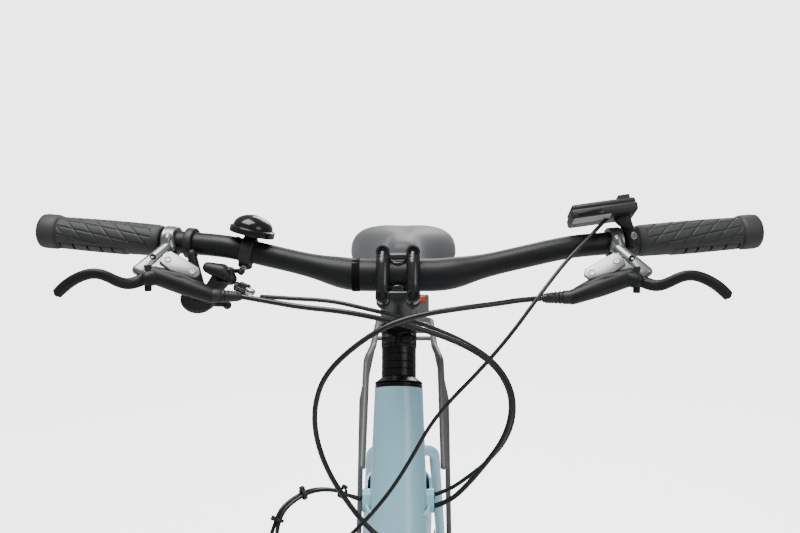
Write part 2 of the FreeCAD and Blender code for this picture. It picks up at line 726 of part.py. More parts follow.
def make_rack():
    foot = STAY_WISH + (STAY_FOOT - STAY_WISH) * RACK_FOOT_SHARE
    offset = V(STAY_RADIUS + RACK_TUBE + SEAT, 0, 0)
    knee = V(RACK_KNEE_HALF, RACK_KNEE, RACK_HEIGHT - RACK_KNEE_DROP)
    front = V(RACK_HALF, RACK_START, RACK_HEIGHT)
    corner = V(RACK_HALF, RACK_END - RACK_TUBE, RACK_HEIGHT)
    rail = bent_tube([foot + offset, knee, front, corner, mirror_point(corner), mirror_point(front),
                      mirror_point(knee), mirror_point(foot + offset)], RACK_TUBE, RACK_BEND)
    leg_top = V(RACK_HALF, RACK_LEG_AT, RACK_HEIGHT)
    leg_foot = STAY_FOOT + V(STAY_RADIUS + RACK_LEG_TUBE + SEAT, 0, 0)
    leg = bent_tube([leg_top, V(RACK_LEG_HALF, (RACK_LEG_AT + leg_foot.y) / 2, RACK_LEG_KNEE), leg_foot],
                    RACK_LEG_TUBE, RACK_BEND)
    pieces = both_sides(leg)
    for k in range(RACK_SLATS):
        y = RACK_START + (RACK_END - RACK_START) * (k + 1) / (RACK_SLATS + 1)
        pieces.append(rod(V(-RACK_HALF, y, RACK_HEIGHT), V(RACK_HALF, y, RACK_HEIGHT), RACK_SLAT_RADIUS))
    spine_start = V(0, RACK_START + (RACK_END - RACK_START) / (RACK_SLATS + 1), RACK_HEIGHT)
    pieces.append(rod(spine_start, V(0, RACK_END - RACK_TUBE, RACK_HEIGHT), RACK_SPINE_RADIUS))
    lamp_z = RACK_HEIGHT + RACK_TUBE + FREE + LAMP_HEIGHT / 2
    plate = block(V(0, RACK_END - RACK_TUBE, lamp_z), V(LAMP_WIDTH, LAMP_PLATE, LAMP_HEIGHT))
    post = V(RACK_TUBE * 2, RACK_END - RACK_TUBE, RACK_HEIGHT)
    pieces += both_sides(rod(post, V(post.x, post.y, lamp_z), RACK_SLAT_RADIUS))
    export("rack", fuse(rail, plate, *pieces))
    lamp_y = RACK_END - RACK_TUBE + RACK_SLAT_RADIUS + SEAT + LAMP_DEPTH / 2
    export("rear_light", block(V(0, lamp_y, lamp_z), V(LAMP_WIDTH, LAMP_DEPTH, LAMP_HEIGHT), EDGE_ROUND))


def mirror_point(point):
    return V(-point.x, point.y, point.z)


# Brake calipers

def caliper(center, rotor_center):
    """Block about the rotor's edge with the slot that the rotor runs in."""
    body = block(center, V(CALIPER_WIDTH, CALIPER_DEPTH, CALIPER_HEIGHT), EDGE_ROUND)
    half = V(CALIPER_SLOT / 2, 0, 0)
    return body.cut(rod(rotor_center - half, rotor_center + half, ROTOR_RADIUS + FREE))


def make_rear_caliper():
    rotor_center = REAR_AXLE + V(REAR_OVER_LOCKNUT / 2 - ROTOR_INSET, 0, 0)
    body = caliper(rotor_center + V(FREE, -CALIPER_BACK, CALIPER_RISE), rotor_center)
    body = body.cut(chain_stay(SEAT)).cut(seat_stay(SEAT)).cut(dropout(SEAT))
    export("rear_caliper", max(body.Solids, key=lambda s: s.Volume))


# Drive

CHAIN_X = -CHAIN_LINE
RING_PITCH = pitch_radius(RING_TEETH)
COG_RADIUS = pitch_radius(COG_TEETH[CHAIN_COG])
PULLEY_PITCH = pitch_radius(PULLEY_TEETH)
GUIDE = REAR_AXLE + V(CHAIN_X, GUIDE_BACK, -GUIDE_DROP)
TENSION = GUIDE + V(0, -TENSION_AHEAD, -TENSION_DROP)


def under_chain(radius):
    """Radius of a toothed disc inside the chain that lies on it."""
    return radius - CHAIN_DEPTH / 2 - FREE


def belt_wire(wheels):
    """Closed line round circles in the chain's plane. Each is (centre, radius, +1 or -1 for its sense)."""
    touches = []
    for (a, ra, sa), (b, rb, sb) in zip(wheels, wheels[1:] + wheels[:1]):
        way = (b - a).normalize()
        right = V(0, way.z, -way.y)
        share = (sb * rb - sa * ra) / a.distanceToPoint(b)
        normal = way * share + right * math.sqrt(1 - share ** 2)
        touches.append((a - normal * sa * ra, b - normal * sb * rb))
    edges = []
    for k, (center, radius, sense) in enumerate(wheels):
        arrive = touches[k - 1][1]
        leave = touches[k][0]
        start = math.atan2(arrive.z - center.z, arrive.y - center.y)
        end = math.atan2(leave.z - center.z, leave.y - center.y)
        sweep = (start - end) * sense % (2 * math.pi)
        middle = start - sense * sweep / 2
        peak = center + V(0, radius * math.cos(middle), radius * math.sin(middle))
        edges.append(Part.Arc(arrive, peak, leave).toShape())
        edges.append(Part.LineSegment(*touches[k]).toShape())
    return Part.Wire(edges)


def make_chain():
    def at(point):
        return V(CHAIN_X - CHAIN_WIDTH / 2, point.y, point.z)

    half = CHAIN_DEPTH / 2
    layout = [(at(BRACKET), RING_PITCH, 1), (at(REAR_AXLE), COG_RADIUS, 1),
              (at(GUIDE), PULLEY_PITCH, -1), (at(TENSION), PULLEY_PITCH, 1)]
    outer = belt_wire([(c, r + s * half, s) for c, r, s in layout])
    inner = belt_wire([(c, r - s * half, s) for c, r, s in layout])
    band = Part.Face([outer, inner]) if outer.Length > inner.Length else Part.Face([inner, outer])
    export("chain", band.extrude(V(CHAIN_WIDTH, 0, 0)))


def make_cassette():
    core_start = REAR_AXLE + V(REAR_FLANGES[0] - FLANGE_THICKNESS / 2 - 2 * SEAT - FREE, 0, 0)
    core_end = REAR_AXLE + V(CHAIN_X - (CHAIN_COG + 1) * COG_PITCH + FREE, 0, 0)
    pieces = []
    for k, teeth in enumerate(COG_TEETH):
        middle = REAR_AXLE + V(CHAIN_X + (k - CHAIN_COG) * COG_PITCH, 0, 0)
        radius = under_chain(COG_RADIUS) if k == CHAIN_COG else pitch_radius(teeth) + COG_PROUD
        half = V(COG_THICKNESS / 2, 0, 0)
        pieces.append(rod(middle - half, middle + half, radius))
    core = fuse(rod(core_start, core_end, HUB_RADIUS), *pieces)
    export("cassette", core.cut(rod(core_start + X, core_end - X, AXLE_RADIUS + RUN)))


def make_chainring():
    middle = BRACKET + V(CHAIN_X, 0, 0)
    half = V(RING_THICKNESS / 2, 0, 0)
    outer = under_chain(RING_PITCH)
    ring = rod(middle - half, middle + half, outer).cut(rod(middle - half, middle + half, outer - RING_BAND))
    length = outer - RING_BAND / 2
    arm = block(V(0, 0, length / 2), V(RING_THICKNESS, RING_ARM_WIDTH, length))
    arms = [placed(arm, middle, k * FULL_TURN / RING_ARMS)
            for k in range(RING_ARMS)]
    boss = rod(middle + half, BRACKET - X * (CRANK_INNER - SEAT), RING_BOSS)
    bore = rod(BRACKET - X * CRANK_INNER * 2, BRACKET, SPINDLE_RADIUS + SEAT)
    export("chainring", fuse(ring, boss, *arms).cut(bore))


def crank_arm(side, reach):
    """One arm with its pedal axle. Side is +1 for left, and reach is -1 for ahead, +1 for behind."""
    inner = BRACKET + X * side * CRANK_INNER
    outer = inner + X * side * CRANK_THICKNESS
    offset = V(0, reach * CRANK_LENGTH, 0)
    boss = rod(inner, outer, CRANK_WIDTH / 2 + RUN)
    eye = rod(inner + offset, outer + offset, CRANK_WIDTH / 2)
    middle = (inner + outer) * 0.5 + offset * 0.5
    web = block(middle, V(CRANK_THICKNESS, CRANK_LENGTH, CRANK_WIDTH - PLATE))
    axle_run = X * side * (PEDAL_GAP + PEDAL_WIDTH - PLATE)
    axle = rod(outer + offset, outer + offset + axle_run, PEDAL_AXLE_RADIUS)
    return fuse(boss, eye, web, axle)


def pedal(side, reach):
    """Platform with a frame, two bars and the axle barrel."""
    start = BRACKET + V(side * (CRANK_INNER + CRANK_THICKNESS + PEDAL_GAP), reach * CRANK_LENGTH, 0)
    middle = start + X * side * PEDAL_WIDTH / 2
    frame = block(middle, V(PEDAL_WIDTH, PEDAL_LENGTH, PEDAL_HEIGHT), EDGE_ROUND)
    window = PEDAL_LENGTH / 2 - PEDAL_HEIGHT - PLATE * 2
    for way in (-1, 1):
        hole = V(PEDAL_WIDTH - PEDAL_HEIGHT, window, PEDAL_HEIGHT * 2)
        frame = frame.cut(block(middle + Y * way * (PEDAL_HEIGHT / 2 + PLATE + window / 2), hole))
    end = start + X * side * (PEDAL_WIDTH - PLATE + RUN)
    return frame.cut(rod(start, end, PEDAL_AXLE_RADIUS + RUN))


def make_cranks():
    spindle = rod(BRACKET - X * CRANK_INNER, BRACKET + X * CRANK_INNER, SPINDLE_RADIUS)
    export("crank_arms", fuse(spindle, crank_arm(-1, -1), crank_arm(1, 1)))
    export("pedal_right", pedal(-1, -1))
    export("pedal_left", pedal(1, 1))


def pulley(center):
    half = V(PULLEY_WIDTH / 2, 0, 0)
    disc = rod(center - half, center + half, under_chain(PULLEY_PITCH))
    return disc.cut(rod(center - half, center + half, PULLEY_PIN + RUN))


def cage_plate(x):
    start = V(x, 0, 0)
    half = V(CAGE_PLATE / 2, 0, 0)
    ends = [V(0, p.y, p.z) + start for p in (GUIDE, TENSION)]
    way = (ends[1] - ends[0]).normalize()
    across = V(0, way.z, -way.y) * (CAGE_WIDTH / 2)
    corners = [ends[0] + across, ends[1] + across, ends[1] - across, ends[0] - across]
    web = Part.Face(Part.makePolygon([c - half for c in corners + corners[:1]])).extrude(half * 2)
    return fuse(web, *[rod(e - half, e + half, CAGE_WIDTH / 2) for e in ends])


def make_derailleur():
    export("guide_pulley", pulley(GUIDE))
    export("tension_pulley", pulley(TENSION))
    reach = V(CAGE_HALF + CAGE_PLATE / 2, 0, 0)
    pins = [rod(p - reach, p + reach, PULLEY_PIN) for p in (GUIDE, TENSION)]
    knuckle_start = GUIDE - reach
    knuckle_end = V(-STAY_X, GUIDE.y, GUIDE.z)
    stub = rod(knuckle_start, knuckle_end, KNUCKLE_PIN)
    plates = [cage_plate(CHAIN_X + way * CAGE_HALF) for way in (-1, 1)]
    export("derailleur_cage", fuse(stub, *plates, *pins))
    gap = X * FREE
    knuckle = rod(knuckle_start - gap, knuckle_end, KNUCKLE_RADIUS)
    hanger_top = REAR_AXLE + V(-STAY_X, GUIDE_BACK, -HANGER_DROP)
    half = X * (DROPOUT_THICKNESS / 2)
    hanger = block((REAR_AXLE + hanger_top + V(-STAY_X, 0, 0)) * 0.5,
                   V(DROPOUT_THICKNESS, CAGE_WIDTH, HANGER_DROP), EDGE_ROUND)
    hinge = rod(hanger_top - half * 2, hanger_top + half * 2, KNUCKLE_RADIUS)
    link = rod(hanger_top, knuckle_end + half, KNUCKLE_RADIUS - PLATE)
    body = fuse(knuckle, hinge, link, hanger).cut(mirrored(dropout(SEAT))).cut(mirrored(chain_stay(SEAT)))
    body = body.cut(rod(knuckle_start, knuckle_end - X * DROPOUT_RADIUS, KNUCKLE_PIN + RUN))
    export("derailleur_body", max(body.Solids, key=lambda s: s.Volume))


# Stand

STAND_PIVOT = V(0, BRACKET.y + STAND_BACK, STAND_PIVOT_Z)


def stand_bracket():
    """Block below the motor with the barrel that the stand turns in."""
    reach = X * STAND_BRACKET_HALF
    bore = rod(STAND_PIVOT - reach, STAND_PIVOT + reach, STAND_PIN + RUN)
    barrel = rod(STAND_PIVOT - reach, STAND_PIVOT + reach, STAND_PIN * 2)
    top = BRACKET.z
    web_front = BRACKET.y - STAND_PIN
    web_back = STAND_PIVOT.y + STAND_PIN * 2
    web = block(V(0, (web_front + web_back) / 2, (top + STAND_PIVOT.z) / 2),
                V(STAND_BRACKET_HALF * 2, web_back - web_front, top - STAND_PIVOT.z))
    body = fuse(barrel, web).cut(motor_body(SEAT)).cut(bore)
    body = body.cut(chain_stay(SEAT)).cut(mirrored(chain_stay(SEAT)))
    return min(body.Solids, key=lambda s: s.BoundBox.ZMin)


def make_stand():
    """Two legs on one pin, with round feet on the ground."""
    hip = STAND_PIVOT + X * (STAND_BRACKET_HALF + FREE + STAND_TUBE)
    foot_top = V(STAND_HALF, STAND_PIVOT.y - STAND_LEAD, STAND_TUBE)
    eye = rod(hip - X * STAND_TUBE, hip + X * STAND_TUBE, STAND_PIN * 2 - SEAT)
    leg = rod(hip, foot_top, STAND_TUBE)
    foot = rod(V(foot_top.x, foot_top.y, 0), foot_top + Z * STAND_TUBE, STAND_TUBE * 2)
    side = fuse(eye, leg, foot)
    pin = rod(mirror_point(hip), hip, STAND_PIN)
    export("kickstand_legs", fuse(pin, *both_sides(side)))


# Front end, in the steering frame where noted

AXLE_DROP = math.sqrt(FORK_LENGTH ** 2 - FORK_OFFSET ** 2)
FORK_AXLE = V(0, -FORK_OFFSET, -AXLE_DROP)
LEG_TOP = V(LEG_SPREAD_TOP, -PLATE, -CROWN_HEIGHT + CROWN_BEAM / 2)
LEG_FOOT = FORK_AXLE + V(FRONT_OVER_LOCKNUT / 2 + LEG_RADIUS_BOTTOM, 0, 0)


def fork_leg(gap=0.0):
    return taper(LEG_TOP, LEG_FOOT, LEG_RADIUS_TOP + gap, LEG_RADIUS_BOTTOM + gap)


def fork_crown(gap=0.0):
    return rod(V(0, 0, -CROWN_HEIGHT - gap), V(0, 0, gap), CROWN_RADIUS + gap)


def make_fork():
    steerer = rod(V(0, 0, -CROWN_HEIGHT / 2), V(0, 0, STEM_BASE + STEM_HEIGHT), STEERER_RADIUS)
    beam = block(V(0, LEG_TOP.y, LEG_TOP.z), V(2 * LEG_TOP.x, CROWN_DEPTH, CROWN_BEAM), CROWN_BEAM)
    half = X * FRONT_OVER_LOCKNUT / 2
    drop = rod(FORK_AXLE + half, FORK_AXLE + half + X * DROPOUT_THICKNESS, LEG_RADIUS_TOP)
    side = fuse(fork_leg(), drop).cut(rod(FORK_AXLE - half, FORK_AXLE + half, DROPOUT_RADIUS))
    reach = half + X * (2 * LEG_RADIUS_BOTTOM)
    side = side.cut(rod(FORK_AXLE - reach, FORK_AXLE + reach, AXLE_RADIUS + SEAT))
    body = fuse(steerer, fork_crown(), beam, *both_sides(side))
    export("fork", steered(body), steered(rod(FORK_AXLE - reach, FORK_AXLE + reach, AXLE_RADIUS)))


def make_front_caliper():
    rotor_x = FRONT_OVER_LOCKNUT / 2 - ROTOR_INSET
    rotor_center = FORK_AXLE + V(rotor_x, 0, 0)
    center = rotor_center + V(FREE, CALIPER_BACK, CALIPER_RISE)
    body = caliper(center, rotor_center)
    arm_width = CALIPER_WIDTH / 2 - CALIPER_SLOT
    arm = block(center + V(CALIPER_WIDTH / 2 - arm_width / 2, -CALIPER_DEPTH / 2, 0),
                V(arm_width, CALIPER_DEPTH, CALIPER_HEIGHT * ARC_SHARE))
    body = fuse(body, arm).cut(fork_leg(SEAT))
    export("front_caliper", steered(max(body.Solids, key=lambda s: s.Volume)))


def make_headset():
    head_top = LOWER_STACK + HEAD_LENGTH
    lower = rod(V(0, 0, FREE / 2), V(0, 0, LOWER_STACK), HEAD_BOTTOM_RADIUS)
    upper = rod(V(0, 0, head_top), V(0, 0, head_top + BEARING_RING - FREE / 2), HEAD_TOP_RADIUS)
    bore = rod(V(0, 0, -CROWN_HEIGHT), V(0, 0, STEM_BASE), STEERER_RADIUS + RUN)
    export("headset_bearings", *[steered(ring.cut(bore)) for ring in (lower, upper)])
    cover_base = head_top + BEARING_RING
    sleeve = STEERER_RADIUS + SEAT
    cover = turned_up([(sleeve, cover_base), (HEAD_TOP_RADIUS, cover_base),
                       (SPACER_RADIUS, cover_base + COVER_HEIGHT), (sleeve, cover_base + COVER_HEIGHT)])
    spacers = []
    for k in range(SPACER_COUNT):
        base = cover_base + COVER_HEIGHT + k * SPACER_HEIGHT
        top = base + SPACER_HEIGHT
        outline = [(sleeve, base), (SPACER_RADIUS, base), (SPACER_RADIUS, top), (sleeve, top)]
        spacers.append(turned_up(outline))
    export("headset_spacers", steered(cover), *[steered(s) for s in spacers])


BAR_LOCAL = V(0, -STEM_REACH, STEM_BASE + STEM_HEIGHT / 2 + STEM_RISE)


def stem_blank():
    """Clamp box about the bar: barrel and flat front with its bolt ears."""
    half = X * CLAMP_WIDTH / 2
    barrel = rod(BAR_LOCAL - half, BAR_LOCAL + half, BAR_CLAMP_RADIUS + CLAMP_WALL)
    ears = block(BAR_LOCAL, V(CLAMP_WIDTH, 2 * FACE_DEPTH, EAR_HEIGHT), EDGE_ROUND)
    return fuse(barrel, ears)


def stem_bolt(across, up, gap):
    """Bolt from the front of the faceplate, with its head, grown by a gap."""
    start = BAR_LOCAL + V(across, -FACE_DEPTH - PLATE, up)
    neck = start + Y * (PLATE * 2)
    shank = rod(neck, neck + Y * (BOLT_LENGTH + FACE_DEPTH / 2 + gap), BOLT_RADIUS + gap)
    return fuse(shank, rod(start - Y * gap, neck, BOLT_HEAD_RADIUS + gap))


def make_stem():
    base = V(0, 0, STEM_BASE)
    middle = base + Z * STEM_HEIGHT / 2
    sleeve = rod(base, base + Z * STEM_HEIGHT, STEM_RADIUS)
    neck = taper(middle, BAR_LOCAL, STEM_NECK, STEM_NECK + SEAT)
    cap_base = base + Z * (STEM_HEIGHT + SEAT)
    cap = rod(cap_base, cap_base + Z * PLATE, STEM_RADIUS)
    half = X * CLAMP_WIDTH
    bar_bore = rod(BAR_LOCAL - half, BAR_LOCAL + half, BAR_CLAMP_RADIUS + SEAT)
    steerer_bore = rod(base, base + Z * STEM_HEIGHT, STEERER_RADIUS + SEAT)
    lug_size = V(BOLT_ACROSS * 2, BOLT_LENGTH / 2, STEM_HEIGHT / 3)
    lug = block(base + V(0, -STEM_RADIUS, STEM_HEIGHT / 4), lug_size, PLATE)
    spots = [(across, up) for across in (-BOLT_ACROSS, BOLT_ACROSS) for up in (-BOLT_UP, BOLT_UP)]
    holes = Part.makeCompound([stem_bolt(across, up, SEAT) for across, up in spots])
    blank = stem_blank().cut(bar_bore).cut(holes)
    room = V(CLAMP_WIDTH * 2, STEM_REACH * 2, EAR_HEIGHT * 2)
    rear_room = block(BAR_LOCAL + Y * (STEM_REACH + CLAMP_SPLIT / 2), room)
    front_room = block(BAR_LOCAL - Y * (STEM_REACH + CLAMP_SPLIT / 2), room)
    clamp_bolts = []
    for up in (STEM_HEIGHT / 6, STEM_HEIGHT / 3):
        spot = base + V(0, -STEM_RADIUS - BOLT_RADIUS, up)
        clamp_bolts.append(rod(spot - X * (BOLT_ACROSS + PLATE), spot + X * BOLT_ACROSS, BOLT_RADIUS))
    centers = [b.BoundBox.Center for b in clamp_bolts]
    clamp_holes = [rod(c - half, c + half, BOLT_RADIUS + SEAT) for c in centers]
    low_room = block(base + V(0, -STEM_RADIUS * 2, STEM_HEIGHT / 4),
                     V(SLIT_WIDTH, STEM_RADIUS * 3, STEM_HEIGHT / 2))
    body = fuse(sleeve, neck, lug, blank.common(rear_room)).cut(bar_bore).cut(steerer_bore).cut(low_room)
    body = body.cut(Part.makeCompound(clamp_holes)).cut(front_room).cut(holes)
    export("stem", steered(max(body.Solids, key=lambda s: s.Volume)), steered(cap))
    export("stem_faceplate", steered(max(blank.common(front_room).Solids, key=lambda s: s.Volume)))
    bolts = [stem_bolt(across, up, 0) for across, up in spots] + clamp_bolts
    export("stem_bolts", *[steered(b) for b in bolts])


def make_handlebar():
    taper_end = BAR_KINK + bar_way(BAR_FLAT) * BAR_TAPER
    arm = fuse(Part.makeSphere(BAR_CLAMP_RADIUS, BAR_KINK),
               taper(BAR_KINK, taper_end, BAR_CLAMP_RADIUS, BAR_RADIUS),
               bent_tube([taper_end, BAR_ELBOW_AT, BAR_END], BAR_RADIUS, BAR_BEND))
    middle = rod(mirror_point(BAR_KINK), BAR_KINK, BAR_CLAMP_RADIUS)
    export("handlebar", fuse(middle, *both_sides(arm)))


def make_grips():
    """Sleeve with a closed outer end and a raised collar there."""
    inner = BAR_END - BAR_WAY * (GRIP_LENGTH - GRIP_END)
    waist = BAR_END - BAR_WAY * (GRIP_LENGTH / 2)
    collar = BAR_END - BAR_WAY * (GRIP_FLANGE - GRIP_END)
    tip = BAR_END + BAR_WAY * GRIP_END
    body = fuse(taper(inner, waist, GRIP_RADIUS - GRIP_END, GRIP_RADIUS), rod(waist, collar, GRIP_RADIUS),
                rod(collar, tip, GRIP_FLANGE_RADIUS))
    sleeve = body.cut(rod(inner, BAR_END + BAR_WAY * SEAT, BAR_RADIUS + SEAT))
    export("grips", *both_sides(sleeve))


# Controls: places are offsets from the handlebar's axis, to the left, back and up

BRAKE_HINGE = V(14, -41, -32)
BRAKE_TUBE = (V(9, -36, -29), V(-49, -42, -49))
BOOT_END = V(-75, -43, -49)
LID_MIDDLE = V(-17.5, -34, -19)
LEVER_LINE = (V(33, -51, -36), V(44, -56, -29), V(60, -58, -26), V(78, -57, -31), V(94, -55, -43))


def tilted(shape, origin, about_x, about_y):
    turn = FreeCAD.Rotation(Y, about_y).multiply(FreeCAD.Rotation(X, about_x))
    moved = shape.copy()
    moved.Placement = FreeCAD.Placement(origin, turn)
    return moved


def lever_pin(at, gap):
    reach = Z * (LEVER_BOSS + LEVER_EAR)
    return rod(at + BRAKE_HINGE - reach, at + BRAKE_HINGE + reach, LEVER_PIN + gap)


def brake_body(at):
    """Master cylinder, reservoir and clamp band of the left brake."""
    tube = rod(at + BRAKE_TUBE[0], at + BRAKE_TUBE[1], BRAKE_TUBE_RADIUS)
    neck_start = at + V(0, -BAR_RADIUS - BAND_WALL / 2, -BAND_WALL)
    neck = rod(neck_start, at + BRAKE_TUBE[0], BRAKE_TUBE_RADIUS - BAND_WALL / 2)
    tank = block(V(0, 0, -LID_THICKNESS / 2 - SEAT - RESERVOIR_DEPTH / 2),
                 V(LID_LENGTH, LID_WIDTH, RESERVOIR_DEPTH), LID_THICKNESS)
    tank = tilted(tank, at + LID_MIDDLE, LID_TILT, LID_SLOPE)
    lid_room = block(V(0, 0, 0), V(LID_LENGTH, LID_WIDTH, LID_THICKNESS) + V(SEAT, SEAT, SEAT) * 2)
    lid_room = tilted(lid_room, at + LID_MIDDLE, LID_TILT, LID_SLOPE)
    hinge = at + BRAKE_HINGE
    ears = []
    for way in (-1, 1):
        ear_start = hinge + Z * way * (LEVER_BOSS + FREE / 2)
        ears.append(rod(ear_start, ear_start + Z * way * LEVER_EAR, LEVER_BOSS))
        web_middle = (hinge + at + BRAKE_TUBE[0]) * 0.5 + Z * way * (LEVER_BOSS + FREE / 2 + LEVER_EAR / 2)
        ears.append(block(web_middle, V(2 * LEVER_BOSS, LEVER_BOSS, LEVER_EAR)))
    body = fuse(tube, neck, tank, *ears)
    half_room = Z * (LEVER_BOSS + FREE / 2)
    room = rod(hinge - half_room, hinge + half_room, LEVER_BOSS + 2 * FREE)
    body = body.cut(room).cut(lever_pin(at, RUN)).cut(lid_room)
    band = ring_on_bar(at.x, BAND_WIDTH)
    keep = rod(on_bar(at.x - BAND_WIDTH), on_bar(at.x + BAND_WIDTH), BAR_RADIUS + SEAT)
    return max(fuse(body, band).cut(keep).Solids, key=lambda s: s.Volume)


def brake_boot(at):
    start = at + BRAKE_TUBE[1]
    return rod(start + (at + BOOT_END - start).normalize() * SEAT, at + BOOT_END, BOOT_RADIUS).cut(
        rod(at + BRAKE_TUBE[0], at + BRAKE_TUBE[1], BRAKE_TUBE_RADIUS + SEAT))


def brake_lid(at):
    lid = block(V(0, 0, 0), V(LID_LENGTH, LID_WIDTH, LID_THICKNESS), LID_THICKNESS / 4)
    return tilted(lid, at + LID_MIDDLE, LID_TILT, LID_SLOPE)


def brake_lever(at):
    hinge = at + BRAKE_HINGE
    boss = rod(hinge - Z * LEVER_BOSS, hinge + Z * LEVER_BOSS, LEVER_BOSS)
    blade = bent_tube([hinge] + [at + p for p in LEVER_LINE], LEVER_RADIUS)
    return fuse(boss, blade, lever_pin(at, 0), Part.makeSphere(LEVER_RADIUS + RUN, at + LEVER_LINE[-1]))


def make_brakes():
    left = on_bar(BRAKE_LEFT_AT)
    right = on_bar(BRAKE_RIGHT_AT)
    bodies = [brake_body(left), brake_boot(left), mirrored(brake_body(right)), mirrored(brake_boot(right))]
    export("brake_bodies", *bodies)
    export("brake_lids", brake_lid(left), mirrored(brake_lid(right)))
    export("brake_lever_left", brake_lever(left))
    export("brake_lever_right", mirrored(brake_lever(right)))


SHIFTER = on_bar(SHIFTER_AT)
SHIFT_HUB = SHIFTER + V(-7, -4, -57)
POD_MIDDLE = SHIFTER + V(-34, -10, -31)
ADJUSTER_END = SHIFTER + V(-63, -21, -46)
FERRULE_END = SHIFTER + V(-69, -22, -49)
PADDLE_HINGE = POD_MIDDLE + V(-SHIFTER_POD / 4, 0, PADDLE_RISE)


def make_shifter():
    """Drawn on the left side and mirrored: the bike has its shifter on the right."""
    face = Y * (SHIFTER_DEPTH / 2)
    drum = rod(SHIFT_HUB - face, SHIFT_HUB + face, SHIFTER_RADIUS)
    neck = rod(SHIFTER - Z * (BAR_RADIUS + BAND_WALL / 2), SHIFT_HUB, SHIFTER_RADIUS / 2)
    pod = block(POD_MIDDLE, V(SHIFTER_POD, SHIFTER_POD * 2 / 3, SHIFTER_POD), EDGE_ROUND)
    bridge = rod(POD_MIDDLE, SHIFT_HUB, SHIFTER_POD / 3)
    paddle_bore = rod(PADDLE_HINGE, PADDLE_HINGE + Y * SHIFTER_POD, PADDLE_PIN + RUN)
    hub_bore = rod(SHIFT_HUB, SHIFT_HUB + face * 2, THUMB_RADIUS / 2 + RUN)
    keep = rod(on_bar(SHIFTER_AT - BAND_WIDTH), on_bar(SHIFTER_AT + BAND_WIDTH), BAR_RADIUS + SEAT)
    body = fuse(drum, neck, pod, bridge, ring_on_bar(SHIFTER_AT, BAND_WIDTH * 2 / 3))
    body = body.cut(keep).cut(paddle_bore).cut(hub_bore)
    thumb_front = SHIFT_HUB + face + Y * FREE / 2
    room = rod(thumb_front - Y * FREE / 2, thumb_front + Y * (THUMB_THICKNESS + FREE),
               THUMB_RADIUS + THUMB_ARM)
    body = max(body.cut(room).Solids, key=lambda s: s.Volume)
    screw_start = POD_MIDDLE + V(-SHIFTER_POD / 2 - SEAT, 0, -SHIFTER_POD / 2 + BAND_WALL / 2)
    ferrule = rod(ADJUSTER_END, FERRULE_END, FERRULE_RADIUS)
    screw = fuse(rod(screw_start, ADJUSTER_END, ADJUSTER_RADIUS), ferrule).cut(
        block(POD_MIDDLE, V(SHIFTER_POD, SHIFTER_POD, SHIFTER_POD) + V(SEAT, SEAT, SEAT)))
    export("shifter_body", mirrored(body), mirrored(screw.Solids[0]))
    arm_end = thumb_front + V(-THUMB_ARM, THUMB_THICKNESS / 2, -THUMB_RADIUS / 2)
    thumb = fuse(rod(SHIFT_HUB + Y * RUN, thumb_front, THUMB_RADIUS / 2),
                 rod(thumb_front, thumb_front + Y * THUMB_THICKNESS, THUMB_RADIUS),
                 rod(thumb_front + Y * THUMB_THICKNESS / 2, arm_end, THUMB_THICKNESS / 2 - SEAT),
                 Part.makeSphere(THUMB_THICKNESS - SEAT, arm_end + Y * THUMB_THICKNESS / 2))
    export("shift_thumb_lever", mirrored(thumb))
    back = POD_MIDDLE.y + SHIFTER_POD / 3 + FREE / 2
    plate_start = V(PADDLE_HINGE.x, back, PADDLE_HINGE.z)
    plate_edge = plate_start + X * (PADDLE_PIN + FREE)
    tip = V(POD_MIDDLE.x - SHIFTER_POD / 2 - FREE - PADDLE_SIZE / 2, back, PADDLE_HINGE.z)
    plate = block((plate_edge + tip + Y * PLATE) * 0.5, V(plate_edge.x - tip.x, PLATE, PADDLE_SIZE))
    pad = block(tip + V(0, -PADDLE_SIZE / 2, 0), V(PADDLE_SIZE, PADDLE_SIZE * 2, PADDLE_SIZE), EDGE_ROUND / 2)
    export("shift_trigger", mirrored(fuse(plate, pad, rod(PADDLE_HINGE, plate_start + Y * RUN, PADDLE_PIN))))


